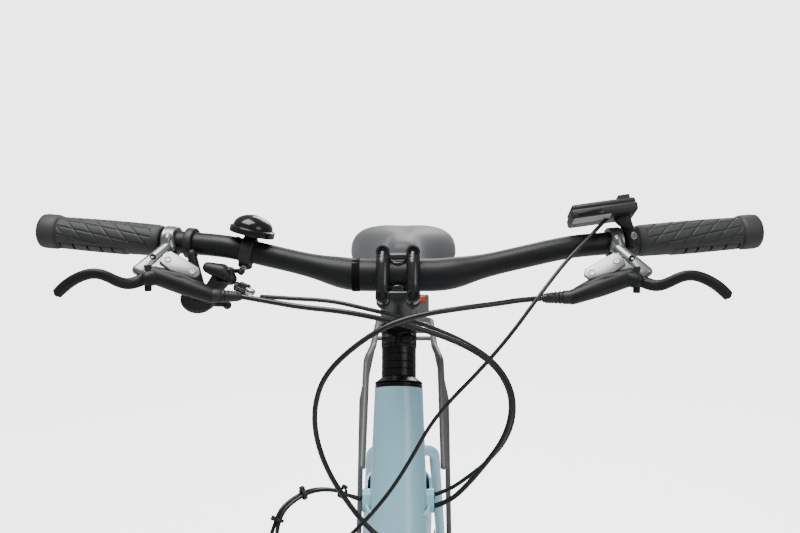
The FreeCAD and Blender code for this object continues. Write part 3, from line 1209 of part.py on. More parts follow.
def make_bell():
    """Dome on a strap, drawn on the left side and mirrored, upright on its stretch of the bar."""
    way = bar_way(BELL_AT)
    roll = -math.degrees(math.atan2(way.z, way.x))
    ball = (BELL_RADIUS ** 2 + BELL_HEIGHT ** 2) / (2 * BELL_HEIGHT)
    rim_height = BAR_RADIUS + BELL_LIFT
    ball_at = V(0, 0, rim_height + BELL_HEIGHT - ball)
    above = block(V(0, 0, rim_height + ball), V(ball * 4, ball * 4, ball * 2))
    dome = Part.makeSphere(ball, ball_at).cut(Part.makeSphere(ball - BELL_WALL, ball_at)).common(above)
    post_top = V(0, 0, rim_height + BELL_HEIGHT - BELL_WALL - FREE)
    post = rod(V(0, 0, BAR_RADIUS + BAND_WALL / 2), post_top, BAND_WIDTH / 3)
    hinge = V(0, BAR_RADIUS + BAND_WALL + LEVER_PIN + BELL_WALL + FREE, 0)
    lug = rod(hinge - Z * LEVER_EAR, hinge + Z * LEVER_EAR, LEVER_PIN + BELL_WALL)
    web = block(V(0, (BAR_RADIUS + hinge.y) / 2, 0), V(LEVER_EAR, hinge.y - BAR_RADIUS, LEVER_EAR))
    base = fuse(lug, web).cut(rod(hinge - Z * LEVER_BOSS, hinge + Z * LEVER_BOSS, LEVER_PIN + RUN))
    arm_base = hinge + Z * (LEVER_EAR + FREE / 2)
    arm_end = V(BELL_RADIUS * 3 / 4, BELL_RADIUS + LEVER_BOSS, arm_base.z + LEVER_PIN / 2)
    striker = fuse(rod(hinge - Z * LEVER_EAR, arm_base + Z * LEVER_PIN, LEVER_PIN),
                   rod(arm_base, arm_base + Z * LEVER_PIN, LEVER_PIN + BELL_WALL),
                   rod(V(hinge.x, hinge.y, arm_end.z), arm_end, LEVER_PIN / 2 - SEAT),
                   Part.makeSphere(LEVER_PIN, arm_end))
    at = on_bar(BELL_AT)
    keep = rod(on_bar(BELL_AT - BAND_WIDTH), on_bar(BELL_AT + BAND_WIDTH), BAR_RADIUS + SEAT)
    base = fuse(ring_on_bar(BELL_AT, BAND_WIDTH), *[tilted(s, at, 0, roll) for s in (base, post)]).cut(keep)
    export("bell", mirrored(base), mirrored(tilted(dome, at, 0, roll)))
    export("bell_striker", mirrored(tilted(striker, at, 0, roll)))


def make_display():
    at = on_bar(DISPLAY_AT)
    middle = at + V(-DISPLAY_INBOARD, -BAND_WALL, DISPLAY_LIFT)
    case = block(V(0, 0, 0), V(DISPLAY_WIDTH, DISPLAY_DEPTH, DISPLAY_THICKNESS), EDGE_ROUND)
    top = DISPLAY_THICKNESS / 2
    buttons = []
    for node, way in (("button_up", 1), ("button_down", -1)):
        spot = V(DISPLAY_WIDTH / 2 - BUTTON_SIZE, way * (BUTTON_LENGTH / 2 + FREE), 0)
        well = block(spot + Z * (top - BUTTON_SINK / 2 - BUTTON_TRAVEL / 2),
                     V(BUTTON_SIZE, BUTTON_LENGTH, BUTTON_SINK + BUTTON_TRAVEL + FREE))
        case = case.cut(well.makeOffsetShape(FREE / 2, RUN, join=2))
        height = BUTTON_SINK + BUTTON_PROUD
        buttons.append((node, block(spot + Z * (top - BUTTON_SINK + height / 2),
                                    V(BUTTON_SIZE, BUTTON_LENGTH, height), FREE)))
    body = tilted(case, middle, DISPLAY_TILT, DISPLAY_ROLL)
    arm = rod(at + Z * BAR_RADIUS, at + V(-BAND_WIDTH, -BAND_WALL, DISPLAY_LIFT), BAND_WALL)
    clamp = fuse(ring_on_bar(DISPLAY_AT, BAND_WIDTH), arm).cut(body)
    keep = rod(on_bar(DISPLAY_AT - BAND_WIDTH), on_bar(DISPLAY_AT + BAND_WIDTH), BAR_RADIUS + SEAT)
    clamp = clamp.cut(keep)
    export("display_unit", body, max(clamp.Solids, key=lambda s: s.Volume))
    for node, button in buttons:
        export(node, tilted(button, middle, DISPLAY_TILT, DISPLAY_ROLL))


def make_front_light():
    start = V(0, -CROWN_RADIUS - PLATE, -LIGHT_DROP)
    body = rod(start, start - Y * LIGHT_LENGTH, LIGHT_RADIUS)
    bracket = block(start + Y * PLATE, V(LIGHT_RADIUS, CROWN_RADIUS, PLATE * 2))
    lamp = fuse(body, bracket).cut(fork_crown(SEAT))
    lamp = lamp.cut(block(V(0, LEG_TOP.y, LEG_TOP.z), V(2 * LEG_TOP.x, CROWN_DEPTH + SEAT, CROWN_BEAM)))
    export("front_light", steered(max(lamp.Solids, key=lambda s: s.Volume)))


# Seat

RAIL_Z = SADDLE_TOP - SADDLE_PAD_DEPTH - 5 * SADDLE_SHELL
POST_TOP = BRACKET + SEAT_WAY * ((RAIL_Z - BRACKET.z) / SEAT_WAY.z)
SADDLE_END = POST_TOP.y + SADDLE_SETBACK


def saddle_draw(share):
    """How far the ends of the saddle draw in: 1 along its middle, less at nose and tail."""
    depth = min(share, 1 - share) / SADDLE_END_SHARE
    return 1.0 if depth >= 1 else math.sqrt(1 - SADDLE_BLUNT * (1 - depth) ** 2)


def saddle_half(share):
    """Half width at a share of the length, from the nose back to the wings."""
    spread = min(max((share - SADDLE_NECK) / (SADDLE_WING - SADDLE_NECK), 0), 1)
    widening = spread ** 2 * (3 - 2 * spread)
    width = SADDLE_NOSE_WIDTH + (SADDLE_WIDTH - SADDLE_NOSE_WIDTH) * widening
    return width / 2 * saddle_draw(share)


def saddle_shares():
    """Stations along the saddle, closer together at its ends."""
    return [(1 - math.cos(math.pi * k / SADDLE_STATIONS)) / 2 for k in range(SADDLE_STATIONS + 1)]


def saddle_section(share):
    """Crowned outline across the saddle: flat below, sides that draw in, one arc on top."""
    y = SADDLE_END - SADDLE_LENGTH * (1 - share)
    half = saddle_half(share)
    height = SADDLE_PAD_DEPTH * saddle_draw(share) * (1 - SADDLE_NOSE_FALL * (1 - share))
    base = SADDLE_TOP - SADDLE_PAD_DEPTH
    waist = half * SADDLE_WAIST
    shoulder = half * SADDLE_SHOULDER
    low = [V(-waist, y, base), V(waist, y, base)]
    crown_start = base + height * SADDLE_CROWN
    high = [V(shoulder, y, crown_start), V(-shoulder, y, crown_start)]
    bulge = base + height * SADDLE_CROWN / 2
    edges = [Part.LineSegment(*low).toShape(),
             Part.Arc(low[1], V(half, y, bulge), high[0]).toShape(),
             Part.Arc(high[0], V(0, y, base + height), high[1]).toShape(),
             Part.Arc(high[1], V(-half, y, bulge), low[0]).toShape()]
    return Part.Wire(edges)


def make_saddle():
    pad = Part.makeLoft([saddle_section(share) for share in saddle_shares()], True)
    print("saddle pad volume %.0f valid %s" % (pad.Volume, pad.isValid()))
    export("saddle_pad", pad)
    base = SADDLE_TOP - SADDLE_PAD_DEPTH - SEAT
    outline = [V(saddle_half(share) * SADDLE_SHOULDER, SADDLE_END - SADDLE_LENGTH * (1 - share), base)
               for share in saddle_shares()]
    ring = outline + [mirror_point(p) for p in reversed(outline)]
    shell = Part.Face(Part.makePolygon(ring + ring[:1])).extrude(V(0, 0, -SADDLE_SHELL))
    top = base - SADDLE_SHELL - SEAT
    nose = V(RAIL_SPREAD / 2, SADDLE_END - SADDLE_LENGTH * RAIL_SHARE, top)
    rear = V(RAIL_SPREAD * RAIL_FLARE, SADDLE_END - SADDLE_LENGTH * (1 - RAIL_SHARE), top)
    flat_front = V(RAIL_SPREAD, POST_TOP.y - SADDLE_LENGTH / 4, RAIL_Z)
    flat_rear = V(RAIL_SPREAD, POST_TOP.y + SADDLE_LENGTH / 6, RAIL_Z)
    rail = bent_tube([nose, flat_front, flat_rear, rear], RAIL_RADIUS, RAIL_SPREAD * 2)
    ceiling = block(V(0, POST_TOP.y, top + SADDLE_WIDTH / 2),
                    V(SADDLE_WIDTH, SADDLE_LENGTH * 2, SADDLE_WIDTH))
    export("saddle_shell", shell)
    export("saddle_rails", *both_sides(rail.cut(ceiling)))
    post = rod(SEAT_TOP - SEAT_WAY * (SEAT_TUBE_LENGTH / 4), POST_TOP, SEATPOST_RADIUS)
    head_size = V(RAIL_SPREAD * 2 + SEATPOST_RADIUS, POST_HEAD_LENGTH, POST_HEAD_HEIGHT)
    head = block(POST_TOP, head_size, EDGE_ROUND)
    reach = Y * SADDLE_LENGTH
    grooves = [rod(V(x, POST_TOP.y, RAIL_Z) - reach, V(x, POST_TOP.y, RAIL_Z) + reach, RAIL_RADIUS + SEAT)
               for x in (-RAIL_SPREAD, RAIL_SPREAD)]
    export("seatpost", fuse(post, head).cut(Part.makeCompound(grooves)))


# Cords: routes are lists of chosen points

FRONT_HOSE = [V(135, -377, 1016), V(116, -379, 1015), V(95, -389, 1013), V(58, -401, 1010), V(21, -407, 1005),
              V(-11, -409, 995), V(-43, -407, 973), V(-67, -403, 948), V(-77, -397, 921), V(-78, -393, 893),
              V(-71, -390, 864), V(-58, -387, 836), V(-33, -386, 800), V(-8, -388, 779), V(18, -390, 764),
              V(40, -394, 745), V(58, -400, 714), V(70, -411, 676), V(76, -426, 630), V(77, -444, 578),
              V(76, -461, 522), V(72, -474, 474), V(63, -484, 440), V(50, -490, 416)]
REAR_HOSE = [V(-147, -375, 1017), V(-120, -380, 1013), V(-91, -387, 1009), V(-54, -391, 1006),
             V(-21, -391, 1000),
             V(7, -389, 993), V(40, -383, 982), V(68, -377, 969), V(93, -371, 951), V(108, -367, 926),
             V(110, -365, 901), V(102, -363, 875), V(85, -357, 849), V(66, -346, 822),
             V(51, -337, 805), V(37.4, -333, 799)]
SHIFT_CABLE = [V(-132.6, -358, 1015), V(-103, -364, 1014), V(-64, -371, 1013), V(-31, -375, 1006),
               V(2, -375, 998),
               V(31, -371, 988), V(64, -365, 973), V(94, -357, 952), V(112, -349, 924), V(115, -347, 896),
               V(107, -345, 870), V(89, -341, 847), V(68, -332, 827),
               V(52, -327, 814), V(37.4, -325, 808)]
BUNDLE = [V(-115, -391, 796), V(-110, -385, 811), V(-99, -377, 820), V(-81, -365, 826), V(-60, -345, 819),
          V(-48.5, -335, 809)]
DISPLAY_CABLE = [V(195, -346, 1083), V(181, -356, 1070), V(158, -371, 1050), V(133, -389, 1022),
                 V(104, -399, 984),
                 V(76, -402, 952), V(49, -402, 924), V(30, -401, 900), V(14, -400, 870), V(-3, -401, 842),
                 V(-22, -404, 818), V(-44, -407, 796), V(-64, -408, 778), V(-86, -407, 767),
                 V(-105, -402, 770),
                 V(-115, -396, 781)] + BUNDLE + [V(-37.4, -331, 804)]
BUNDLE_STEP = V(-3.6, 2.9, 0)
LIGHT_WIRE = [V(-21, -394, 722), V(-42, -397, 720), V(-70, -401, 724), V(-98, -402, 738), V(-119, -398, 759),
              V(-124, -392, 780)] + [p + BUNDLE_STEP for p in BUNDLE] + [V(-37.4, -325, 804)]
TIE_RUNS = (0, 2, 4)
REAR_HOSE_TAIL = [V(63, 425, 350), V(62, 437, 370), V(60, 453, 388), V(58.2, 470, 400), V(57, 484, 404)]
SHIFT_TAIL = [V(-68, 470, 332), V(-74, 489, 316), V(-82, 516, 301), V(-89, 547, 291), V(-92, 577, 290),
              V(-91, 603, 301), V(-87, 610, 322), V(-82, 599, 340), V(-78, 580, 345), V(-75, 564.8, 337.5)]


def cable_tie(a, b):
    """Band about the middle of a run of the bundle."""
    middle = (a + b) * 0.5 + BUNDLE_STEP * 0.5
    way = (b - a).normalize() * (TIE_WIDTH / 2)
    inner = WIRE_RADIUS + BUNDLE_STEP.Length / 2 + SEAT
    return rod(middle - way, middle + way, inner + TIE_WALL).cut(rod(middle - way, middle + way, inner))


def make_cords():
    export("front_hose", cord("front hose", FRONT_HOSE, HOSE_RADIUS))
    export("rear_cables", cord("rear hose", REAR_HOSE, HOSE_RADIUS),
           cord("shift cable", SHIFT_CABLE, CABLE_RADIUS))
    ties = [cable_tie(BUNDLE[k], BUNDLE[k + 1]) for k in TIE_RUNS]
    export("bundle_wires", cord("display cable", DISPLAY_CABLE, WIRE_RADIUS),
           cord("light wire", LIGHT_WIRE, WIRE_RADIUS), *ties)
    export("rear_cable_tails", cord("rear hose tail", REAR_HOSE_TAIL, HOSE_RADIUS),
           cord("shift cable tail", SHIFT_TAIL, CABLE_RADIUS))


def main():
    os.makedirs("parts", exist_ok=True)
    for make in (make_wheels, make_main_tubes, make_stays, make_rack, make_rear_caliper, make_chain,
                 make_cassette, make_chainring, make_cranks, make_derailleur, make_stand, make_fork,
                 make_front_caliper,
                 make_headset, make_stem, make_handlebar, make_grips, make_brakes, make_shifter, make_bell,
                 make_display, make_front_light, make_saddle, make_cords):
        make()


main()
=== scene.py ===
"""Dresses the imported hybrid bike: cords, controls, grips, saddle, wheels and finishes, on a studio stage."""
import json
import math
import bmesh
import bpy
from mathutils import Matrix, Vector


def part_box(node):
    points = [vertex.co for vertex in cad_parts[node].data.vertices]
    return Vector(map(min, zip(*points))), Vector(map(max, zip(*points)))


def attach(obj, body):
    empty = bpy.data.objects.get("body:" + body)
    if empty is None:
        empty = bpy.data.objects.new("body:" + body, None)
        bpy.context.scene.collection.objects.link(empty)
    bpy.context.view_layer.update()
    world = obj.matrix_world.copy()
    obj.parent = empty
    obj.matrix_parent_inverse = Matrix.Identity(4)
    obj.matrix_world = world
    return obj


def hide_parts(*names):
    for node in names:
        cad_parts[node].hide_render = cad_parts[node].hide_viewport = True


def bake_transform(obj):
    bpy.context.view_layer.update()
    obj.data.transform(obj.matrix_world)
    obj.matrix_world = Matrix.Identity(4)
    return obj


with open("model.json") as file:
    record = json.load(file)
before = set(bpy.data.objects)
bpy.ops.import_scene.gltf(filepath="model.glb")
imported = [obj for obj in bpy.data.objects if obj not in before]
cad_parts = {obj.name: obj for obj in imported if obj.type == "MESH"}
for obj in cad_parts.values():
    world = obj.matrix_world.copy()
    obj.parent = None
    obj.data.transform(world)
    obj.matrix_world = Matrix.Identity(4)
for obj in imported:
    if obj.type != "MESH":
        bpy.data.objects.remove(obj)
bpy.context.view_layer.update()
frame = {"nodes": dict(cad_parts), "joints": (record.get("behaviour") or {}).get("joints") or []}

bl_info = {
    "name": "Hybrid Bike",
    "version": (1, 0, 0),
    "blender": (4, 5, 0),
    "location": "View3D > Sidebar > Hybrid Bike",
    "description": "Dresses the packed hybrid bike with its cords, controls, saddle, wheels and finishes",
    "category": "Object",
}

JOINTS = {joint["name"]: joint for joint in frame["joints"]}
NODES = frame["nodes"]
SIDES = (-1, 1)
MM = 0.001
X = Vector((1, 0, 0))
Y = Vector((0, 1, 0))
Z = Vector((0, 0, 1))
MIRROR = Matrix.Scale(-1, 4, X)


def joint_at(name):
    return Vector(JOINTS[name]["pos_m"])


def joint_axis(name):
    return Vector(JOINTS[name]["axis"]).normalized()


def mm(x, y, z):
    return Vector((x, y, z)) * MM


def colour(name, description, default):
    return bpy.props.FloatVectorProperty(
        name=name, description=description, subtype="COLOR", size=3, min=0, max=1, default=default)


def measure(name, description, default, low, high):
    return bpy.props.FloatProperty(
        name=name, description=description, default=default, min=low, max=high, unit="LENGTH", precision=4)


class BikeColours(bpy.types.PropertyGroup):
    """Colours of the bike's finishes."""

    frame_paint: colour("Frame Paint", "Pale paint of the frame and fork", (0.36, 0.68, 0.80))
    black_coat: colour("Black Coat", "Matte black of bar, stem, rims and cranks", (0.0085, 0.009, 0.010))
    silver: colour("Silver", "Satin grey of the brake clamps and lids", (0.26, 0.264, 0.27))
    grip: colour("Grip Rubber", "Dark grey rubber of the grips", (0.030, 0.031, 0.032))
    cord: colour("Cord Jacket", "Black jackets of hoses, cable and wires", (0.007, 0.007, 0.0075))
    saddle: colour("Saddle Cover", "Charcoal cover of the saddle", (0.075, 0.077, 0.081))
    rack: colour("Rack Paint", "Grey paint of the rear rack", (0.10, 0.101, 0.103))
    tyre: colour("Tyre Rubber", "Black rubber of the tyres", (0.018, 0.018, 0.019))


class BikeSizes(bpy.types.PropertyGroup):
    """Sizes of the dressed pieces that a user may change."""

    hose_radius: measure("Hose Radius", "Radius of a brake hose", 0.0026, 0.001, 0.004)
    cable_radius: measure("Cable Radius", "Radius of the shift cable's jacket", 0.0021, 0.001, 0.004)
    wire_radius: measure("Wire Radius", "Radius of the display cable and the light wire", 0.0019,
                         0.001, 0.003)
    bar_radius: measure("Bar Radius", "Radius of the handlebar's arms", 0.0111, 0.01, 0.013)
    bar_clamp_radius: measure("Bar Clamp Radius", "Radius of the handlebar inside the stem", 0.0159,
                              0.012, 0.018)
    groove_depth: measure("Grip Groove Depth", "Depth of the lines cut into the grips", 0.0009, 0, 0.002)
    tread_depth: measure("Tread Depth", "Depth of the tyre tread", 0.0014, 0, 0.003)


def colours():
    return bpy.context.scene.bike_colours


def sizes():
    return bpy.context.scene.bike_sizes


# Finishes

BROAD_SCALE = 9.0
SMEAR_SCALE = 46.0
SPECK_POWER = 4.0
DUST_COLOUR = (0.42, 0.41, 0.39, 1)
COAT_ROUGHNESS = 0.08


def feed(socket, value):
    """Set a socket to a number, or link it to another node's output."""
    if isinstance(value, (int, float)):
        socket.default_value = value
    else:
        socket.id_data.links.new(value, socket)


def value_node(nodes, operation, first, second):
    node = nodes.new("ShaderNodeMath")
    node.operation = operation
    feed(node.inputs[0], first)
    feed(node.inputs[1], second)
    return node.outputs[0]


def noise_node(nodes, place, scale, detail):
    node = nodes.new("ShaderNodeTexNoise")
    feed(node.inputs["Vector"], place)
    feed(node.inputs["Scale"], scale)
    feed(node.inputs["Detail"], detail)
    return node.outputs["Fac"]


def about_zero(nodes, noise, share):
    """Noise moved to lie about zero, times its share."""
    return value_node(nodes, "MULTIPLY", value_node(nodes, "SUBTRACT", noise, 0.5), share)


def surface_group():
    """Shared surface: broad shade changes, uneven gloss and a fine grain, from Object coordinates."""
    if "Bike Surface" in bpy.data.node_groups:
        return bpy.data.node_groups["Bike Surface"]
    tree = bpy.data.node_groups.new("Bike Surface", "ShaderNodeTree")
    inputs = ("Roughness", "Shade Change", "Gloss Change", "Grain Scale", "Dust")
    for direction, numbers in (("INPUT", inputs), ("OUTPUT", ("Roughness", "Height"))):
        tree.interface.new_socket("Color", in_out=direction, socket_type="NodeSocketColor")
        for name in numbers:
            tree.interface.new_socket(name, in_out=direction, socket_type="NodeSocketFloat")
    nodes = tree.nodes
    given = nodes.new("NodeGroupInput").outputs
    result = nodes.new("NodeGroupOutput").inputs
    place = nodes.new("ShaderNodeTexCoord").outputs["Object"]
    broad = noise_node(nodes, place, BROAD_SCALE, 3.0)
    smears = noise_node(nodes, place, SMEAR_SCALE, 4.0)
    tone = nodes.new("ShaderNodeHueSaturation")
    feed(tone.inputs["Color"], given["Color"])
    feed(tone.inputs["Value"], value_node(nodes, "ADD", about_zero(nodes, broad, given["Shade Change"]), 1.0))
    dusty = nodes.new("ShaderNodeMix")
    dusty.data_type = "RGBA"
    dusty.inputs["B"].default_value = DUST_COLOUR
    specks = value_node(nodes, "POWER", smears, SPECK_POWER)
    feed(dusty.inputs["Factor"], value_node(nodes, "MULTIPLY", specks, given["Dust"]))
    feed(dusty.inputs["A"], tone.outputs["Color"])
    feed(result["Color"], dusty.outputs["Result"])
    uneven = about_zero(nodes, smears, given["Gloss Change"])
    feed(result["Roughness"], value_node(nodes, "ADD", uneven, given["Roughness"]))
    feed(result["Height"], noise_node(nodes, place, given["Grain Scale"], 3.0))
    return tree


def finish(name, color, roughness, metallic=0.0, coat=0.0, shade=0.12, gloss=0.12, grain=900.0,
           relief=0.00004, dust=0.1, specular=0.5, sheen=0.0):
    """A finish on the shared surface. Relief is the depth of its grain in metres."""
    if name in bpy.data.materials:
        return bpy.data.materials[name]
    material = bpy.data.materials.new(name)
    material.use_nodes = True
    tree = material.node_tree
    shader = tree.nodes["Principled BSDF"]
    for socket, value in (("Metallic", metallic), ("Coat Weight", coat), ("Coat Roughness", COAT_ROUGHNESS),
                          ("Specular IOR Level", specular), ("Sheen Weight", sheen)):
        shader.inputs[socket].default_value = value
    surface = tree.nodes.new("ShaderNodeGroup")
    surface.name = "Surface"
    surface.node_tree = surface_group()
    for socket, value in (("Color", (*color, 1)), ("Roughness", roughness), ("Shade Change", shade),
                          ("Gloss Change", gloss), ("Grain Scale", grain), ("Dust", dust)):
        surface.inputs[socket].default_value = value
    bump = tree.nodes.new("ShaderNodeBump")
    bump.inputs["Strength"].default_value = 1.0
    bump.inputs["Distance"].default_value = relief
    feed(shader.inputs["Base Color"], surface.outputs["Color"])
    feed(shader.inputs["Roughness"], surface.outputs["Roughness"])
    feed(bump.inputs["Height"], surface.outputs["Height"])
    feed(shader.inputs["Normal"], bump.outputs["Normal"])
    return material


def frame_paint():
    return finish("Frame Paint", colours().frame_paint, 0.3, coat=0.35, shade=0.07, grain=420.0,
                  relief=0.00002, dust=0.05)


def black_coat():
    return finish("Black Coat", colours().black_coat, 0.45, shade=0.2, grain=1600.0, relief=0.00002,
                  dust=0.03, specular=0.3)


def satin_black():
    return finish("Satin Black", colours().black_coat, 0.26, shade=0.2, grain=1600.0, relief=0.00001,
                  specular=0.6)


def bar_mark():
    return finish("Bar Mark", (0.004, 0.004, 0.0045), 0.85, shade=0.2, relief=0.00002, dust=0.0, specular=0.1)


def black_anodised():
    return finish("Black Anodised", colours().black_coat, 0.3, metallic=0.45, shade=0.2, grain=2200.0,
                  relief=0.00001)


def silver():
    return finish("Silver Metal", colours().silver, 0.34, metallic=0.85, shade=0.15, grain=1500.0,
                  relief=0.00002)


def steel():
    return finish("Steel", (0.46, 0.46, 0.47), 0.3, metallic=1.0, shade=0.2, grain=1200.0, relief=0.00002)


def chain_steel():
    return finish("Chain Steel", (0.16, 0.155, 0.15), 0.36, metallic=0.9, shade=0.4, grain=700.0, dust=0.05)


def grip_rubber():
    return finish("Grip Rubber", colours().grip, 0.62, shade=0.2, grain=1900.0, relief=0.00005, dust=0.05)


def tyre_rubber():
    return finish("Tyre Rubber", colours().tyre, 0.75, shade=0.25, grain=700.0, relief=0.00008, dust=0.25)


def cord_jacket():
    return finish("Cord Jacket", colours().cord, 0.36, shade=0.2, grain=1400.0, relief=0.00003, dust=0.05)


def moulded_plastic():
    return finish("Moulded Plastic", (0.011, 0.0112, 0.012), 0.5, shade=0.15, grain=2600.0, dust=0.06)


def gloss_black():
    return finish("Gloss Black", (0.006, 0.006, 0.0065), 0.2, coat=0.2, shade=0.1, gloss=0.06,
                  relief=0.000005, dust=0.02, specular=0.35)


def saddle_cover():
    return finish("Saddle Cover", colours().saddle, 0.55, shade=0.16, grain=1100.0, relief=0.00012, dust=0.06,
                  sheen=0.2)


def rack_paint():
    return finish("Rack Paint", colours().rack, 0.4, shade=0.1, grain=800.0, relief=0.00003)


def red_lens():
    return finish("Red Lens", (0.62, 0.02, 0.012), 0.16, coat=0.5, shade=0.1, grain=300.0, relief=0.00002)


def amber_lens():
    return finish("Amber Lens", (0.72, 0.20, 0.012), 0.2, coat=0.4, shade=0.1, grain=300.0, relief=0.00002)


def clear_lens():
    return finish("Clear Lens", (0.8, 0.82, 0.83), 0.12, coat=0.6, shade=0.08, grain=260.0)


def pale_plastic():
    return finish("Pale Plastic", (0.55, 0.56, 0.56), 0.45, shade=0.08, grain=1500.0, relief=0.00002)


# Making pieces

def new_faces(bm, known, skin=0):
    """Faces made since the known ones, given one of the piece's finishes."""
    made = [face for face in bm.faces if face not in known]
    for face in made:
        face.material_index = skin
    return made


def moved(bm, faces, matrix):
    bmesh.ops.transform(bm, matrix=matrix, verts=list({vert for face in faces for vert in face.verts}))


def points_of(geom):
    return [item for item in geom if isinstance(item, bmesh.types.BMVert)]


def pushed(bm, faces, step, keep=False):
    """Extrude flat faces by a step, which leaves the first faces as the near side where they are kept."""
    far = bmesh.ops.extrude_face_region(bm, geom=faces, use_keep_orig=keep)["geom"]
    bmesh.ops.translate(bm, vec=step, verts=points_of(far))


def axis_turn(way):
    return way.to_track_quat("Z", "Y").to_matrix().to_4x4()


def lathe(bm, profile, at, way, steps=48, skin=0):
    """Turn (distance along the axis, radius) points about an axis through a point."""
    known = set(bm.faces)
    place = Matrix.Translation(at) @ axis_turn(way)
    verts = [bm.verts.new(place @ Vector((radius, 0, along))) for along, radius in profile]
    edges = [bm.edges.new(pair) for pair in zip(verts, verts[1:])]
    bmesh.ops.spin(bm, geom=verts + edges, cent=at, axis=way, angle=math.tau, steps=steps, use_merge=True)
    return new_faces(bm, known, skin)


def band(bm, at, way, ends, inner, outer, chamfer, steps=48):
    """Ring between two ends of an axis. Its outer edges have a chamfer, along and across."""
    low, high = ends
    along, across = chamfer
    lathe(bm, [(low, inner), (low, outer - across), (low + along, outer), (high - along, outer),
               (high, outer - across), (high, inner)], at, way, steps)


def rounded_box(bm, size, place, bevel, segments=3, skin=0):
    """Box with bevelled edges, moved to its place by a matrix or a point."""
    known = set(bm.faces)
    verts = bmesh.ops.create_cube(bm, size=1.0)["verts"]
    bmesh.ops.scale(bm, vec=size, verts=verts)
    edges = list({edge for vert in verts for edge in vert.link_edges})
    bmesh.ops.bevel(bm, geom=edges, offset=bevel, segments=segments, profile=0.5, affect="EDGES", material=-1)
    made = new_faces(bm, known, skin)
    moved(bm, made, place if isinstance(place, Matrix) else Matrix.Translation(place))
    return made


def hull(bm, at, balls, skin=0, segments=20):
    """Smooth form stretched over balls about a point: each has x, y, z and a radius in millimetres."""
    cloud = bmesh.new()
    for x, y, z, radius in balls:
        bmesh.ops.create_uvsphere(cloud, u_segments=segments, v_segments=segments // 2, radius=radius * MM,
                                  matrix=Matrix.Translation(at + mm(x, y, z)))
    known = set(bm.faces)
    verts = [bm.verts.new(vert.co) for vert in cloud.verts]
    cloud.free()
    made = bmesh.ops.convex_hull(bm, input=verts)
    inside = set(points_of(made["geom_interior"] + made["geom_unused"]))
    bmesh.ops.delete(bm, geom=list(inside), context="VERTS")
    new_faces(bm, known, skin)


def bolt(bm, at, way, radius, height, skin=0):
    """Cap head with a bevelled rim and a round socket."""
    edge = radius * 0.15
    socket = radius * 0.55
    lathe(bm, [(0, radius), (height - edge, radius), (height, radius - edge), (height, socket),
               (height * 0.4, socket), (height * 0.4, 0)], at, way, steps=18, skin=skin)


def swept(bm, points, radius, height=0.0, scales=None, order=3):
    """Form drawn along a smooth line: round, or taller upright by the given height."""
    curve = bpy.data.curves.new("swept", "CURVE")
    curve.dimensions = "3D"
    curve.resolution_u = 10
    curve.bevel_depth = radius
    curve.bevel_resolution = 5
    curve.use_fill_caps = True
    curve.extrude = height
    curve.twist_mode = "Z_UP"
    line = curve.splines.new("NURBS")
    line.points.add(len(points) - 1)
    for point, place, scale in zip(line.points, points, scales or [1.0] * len(points)):
        point.co = (*place, 1)
        point.radius = scale
    line.order_u = order
    line.use_endpoint_u = True
    holder = bpy.data.objects.new("swept", curve)
    mesh = bpy.data.meshes.new_from_object(holder)
    bm.from_mesh(mesh)
    bpy.data.objects.remove(holder)
    bpy.data.curves.remove(curve)
    bpy.data.meshes.remove(mesh)


def show(name, bm, body, finishes, replaced=(), sharp=32.0, mirror=False):
    """Merge, orient and shade a piece, and ride it on its body in place of the nodes it stands for."""
    bmesh.ops.remove_doubles(bm, verts=bm.verts, dist=0.000002)
    if mirror:
        bmesh.ops.transform(bm, matrix=MIRROR, verts=bm.verts)
    bmesh.ops.recalc_face_normals(bm, faces=bm.faces)
    mesh = bpy.data.meshes.new(name)
    bm.to_mesh(mesh)
    bm.free()
    mesh.shade_smooth()
    mesh.set_sharp_from_angle(angle=math.radians(sharp))
    piece = bpy.data.objects.new(name, mesh)
    bpy.context.scene.collection.objects.link(piece)
    for material in finishes:
        mesh.materials.append(material)
    if body:
        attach(piece, body)
    if replaced:
        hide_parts(*replaced)
    return piece


def coat(node, material):
    """Give a kept node its finish."""
    mesh = NODES[node].data
    mesh.materials.clear()
    mesh.materials.append(material)


# Cords: their routes are the solids' own chosen points, in metres

FRONT_HOSE = [
    (0.135, -0.377, 1.016), (0.116, -0.379, 1.015), (0.095, -0.389, 1.013), (0.058, -0.401, 1.010),
    (0.021, -0.407, 1.005), (-0.011, -0.409, 0.995), (-0.043, -0.407, 0.973), (-0.067, -0.403, 0.948),
    (-0.077, -0.397, 0.921), (-0.078, -0.393, 0.893), (-0.071, -0.390, 0.864), (-0.058, -0.387, 0.836),
    (-0.033, -0.386, 0.800), (-0.008, -0.388, 0.779), (0.018, -0.390, 0.764), (0.040, -0.394, 0.745),
    (0.058, -0.400, 0.714), (0.070, -0.411, 0.676), (0.076, -0.426, 0.630), (0.077, -0.444, 0.578),
    (0.076, -0.461, 0.522), (0.072, -0.474, 0.474), (0.063, -0.484, 0.440), (0.050, -0.490, 0.416)]
REAR_HOSE = [
    (-0.147, -0.375, 1.017), (-0.120, -0.380, 1.013), (-0.091, -0.387, 1.009), (-0.054, -0.391, 1.006),
    (-0.021, -0.391, 1.000), (0.007, -0.389, 0.993), (0.040, -0.383, 0.982), (0.068, -0.377, 0.969),
    (0.093, -0.371, 0.951), (0.108, -0.367, 0.926), (0.110, -0.365, 0.901), (0.102, -0.363, 0.875),
    (0.085, -0.357, 0.849), (0.066, -0.346, 0.822), (0.051, -0.337, 0.805), (0.0374, -0.333, 0.799)]
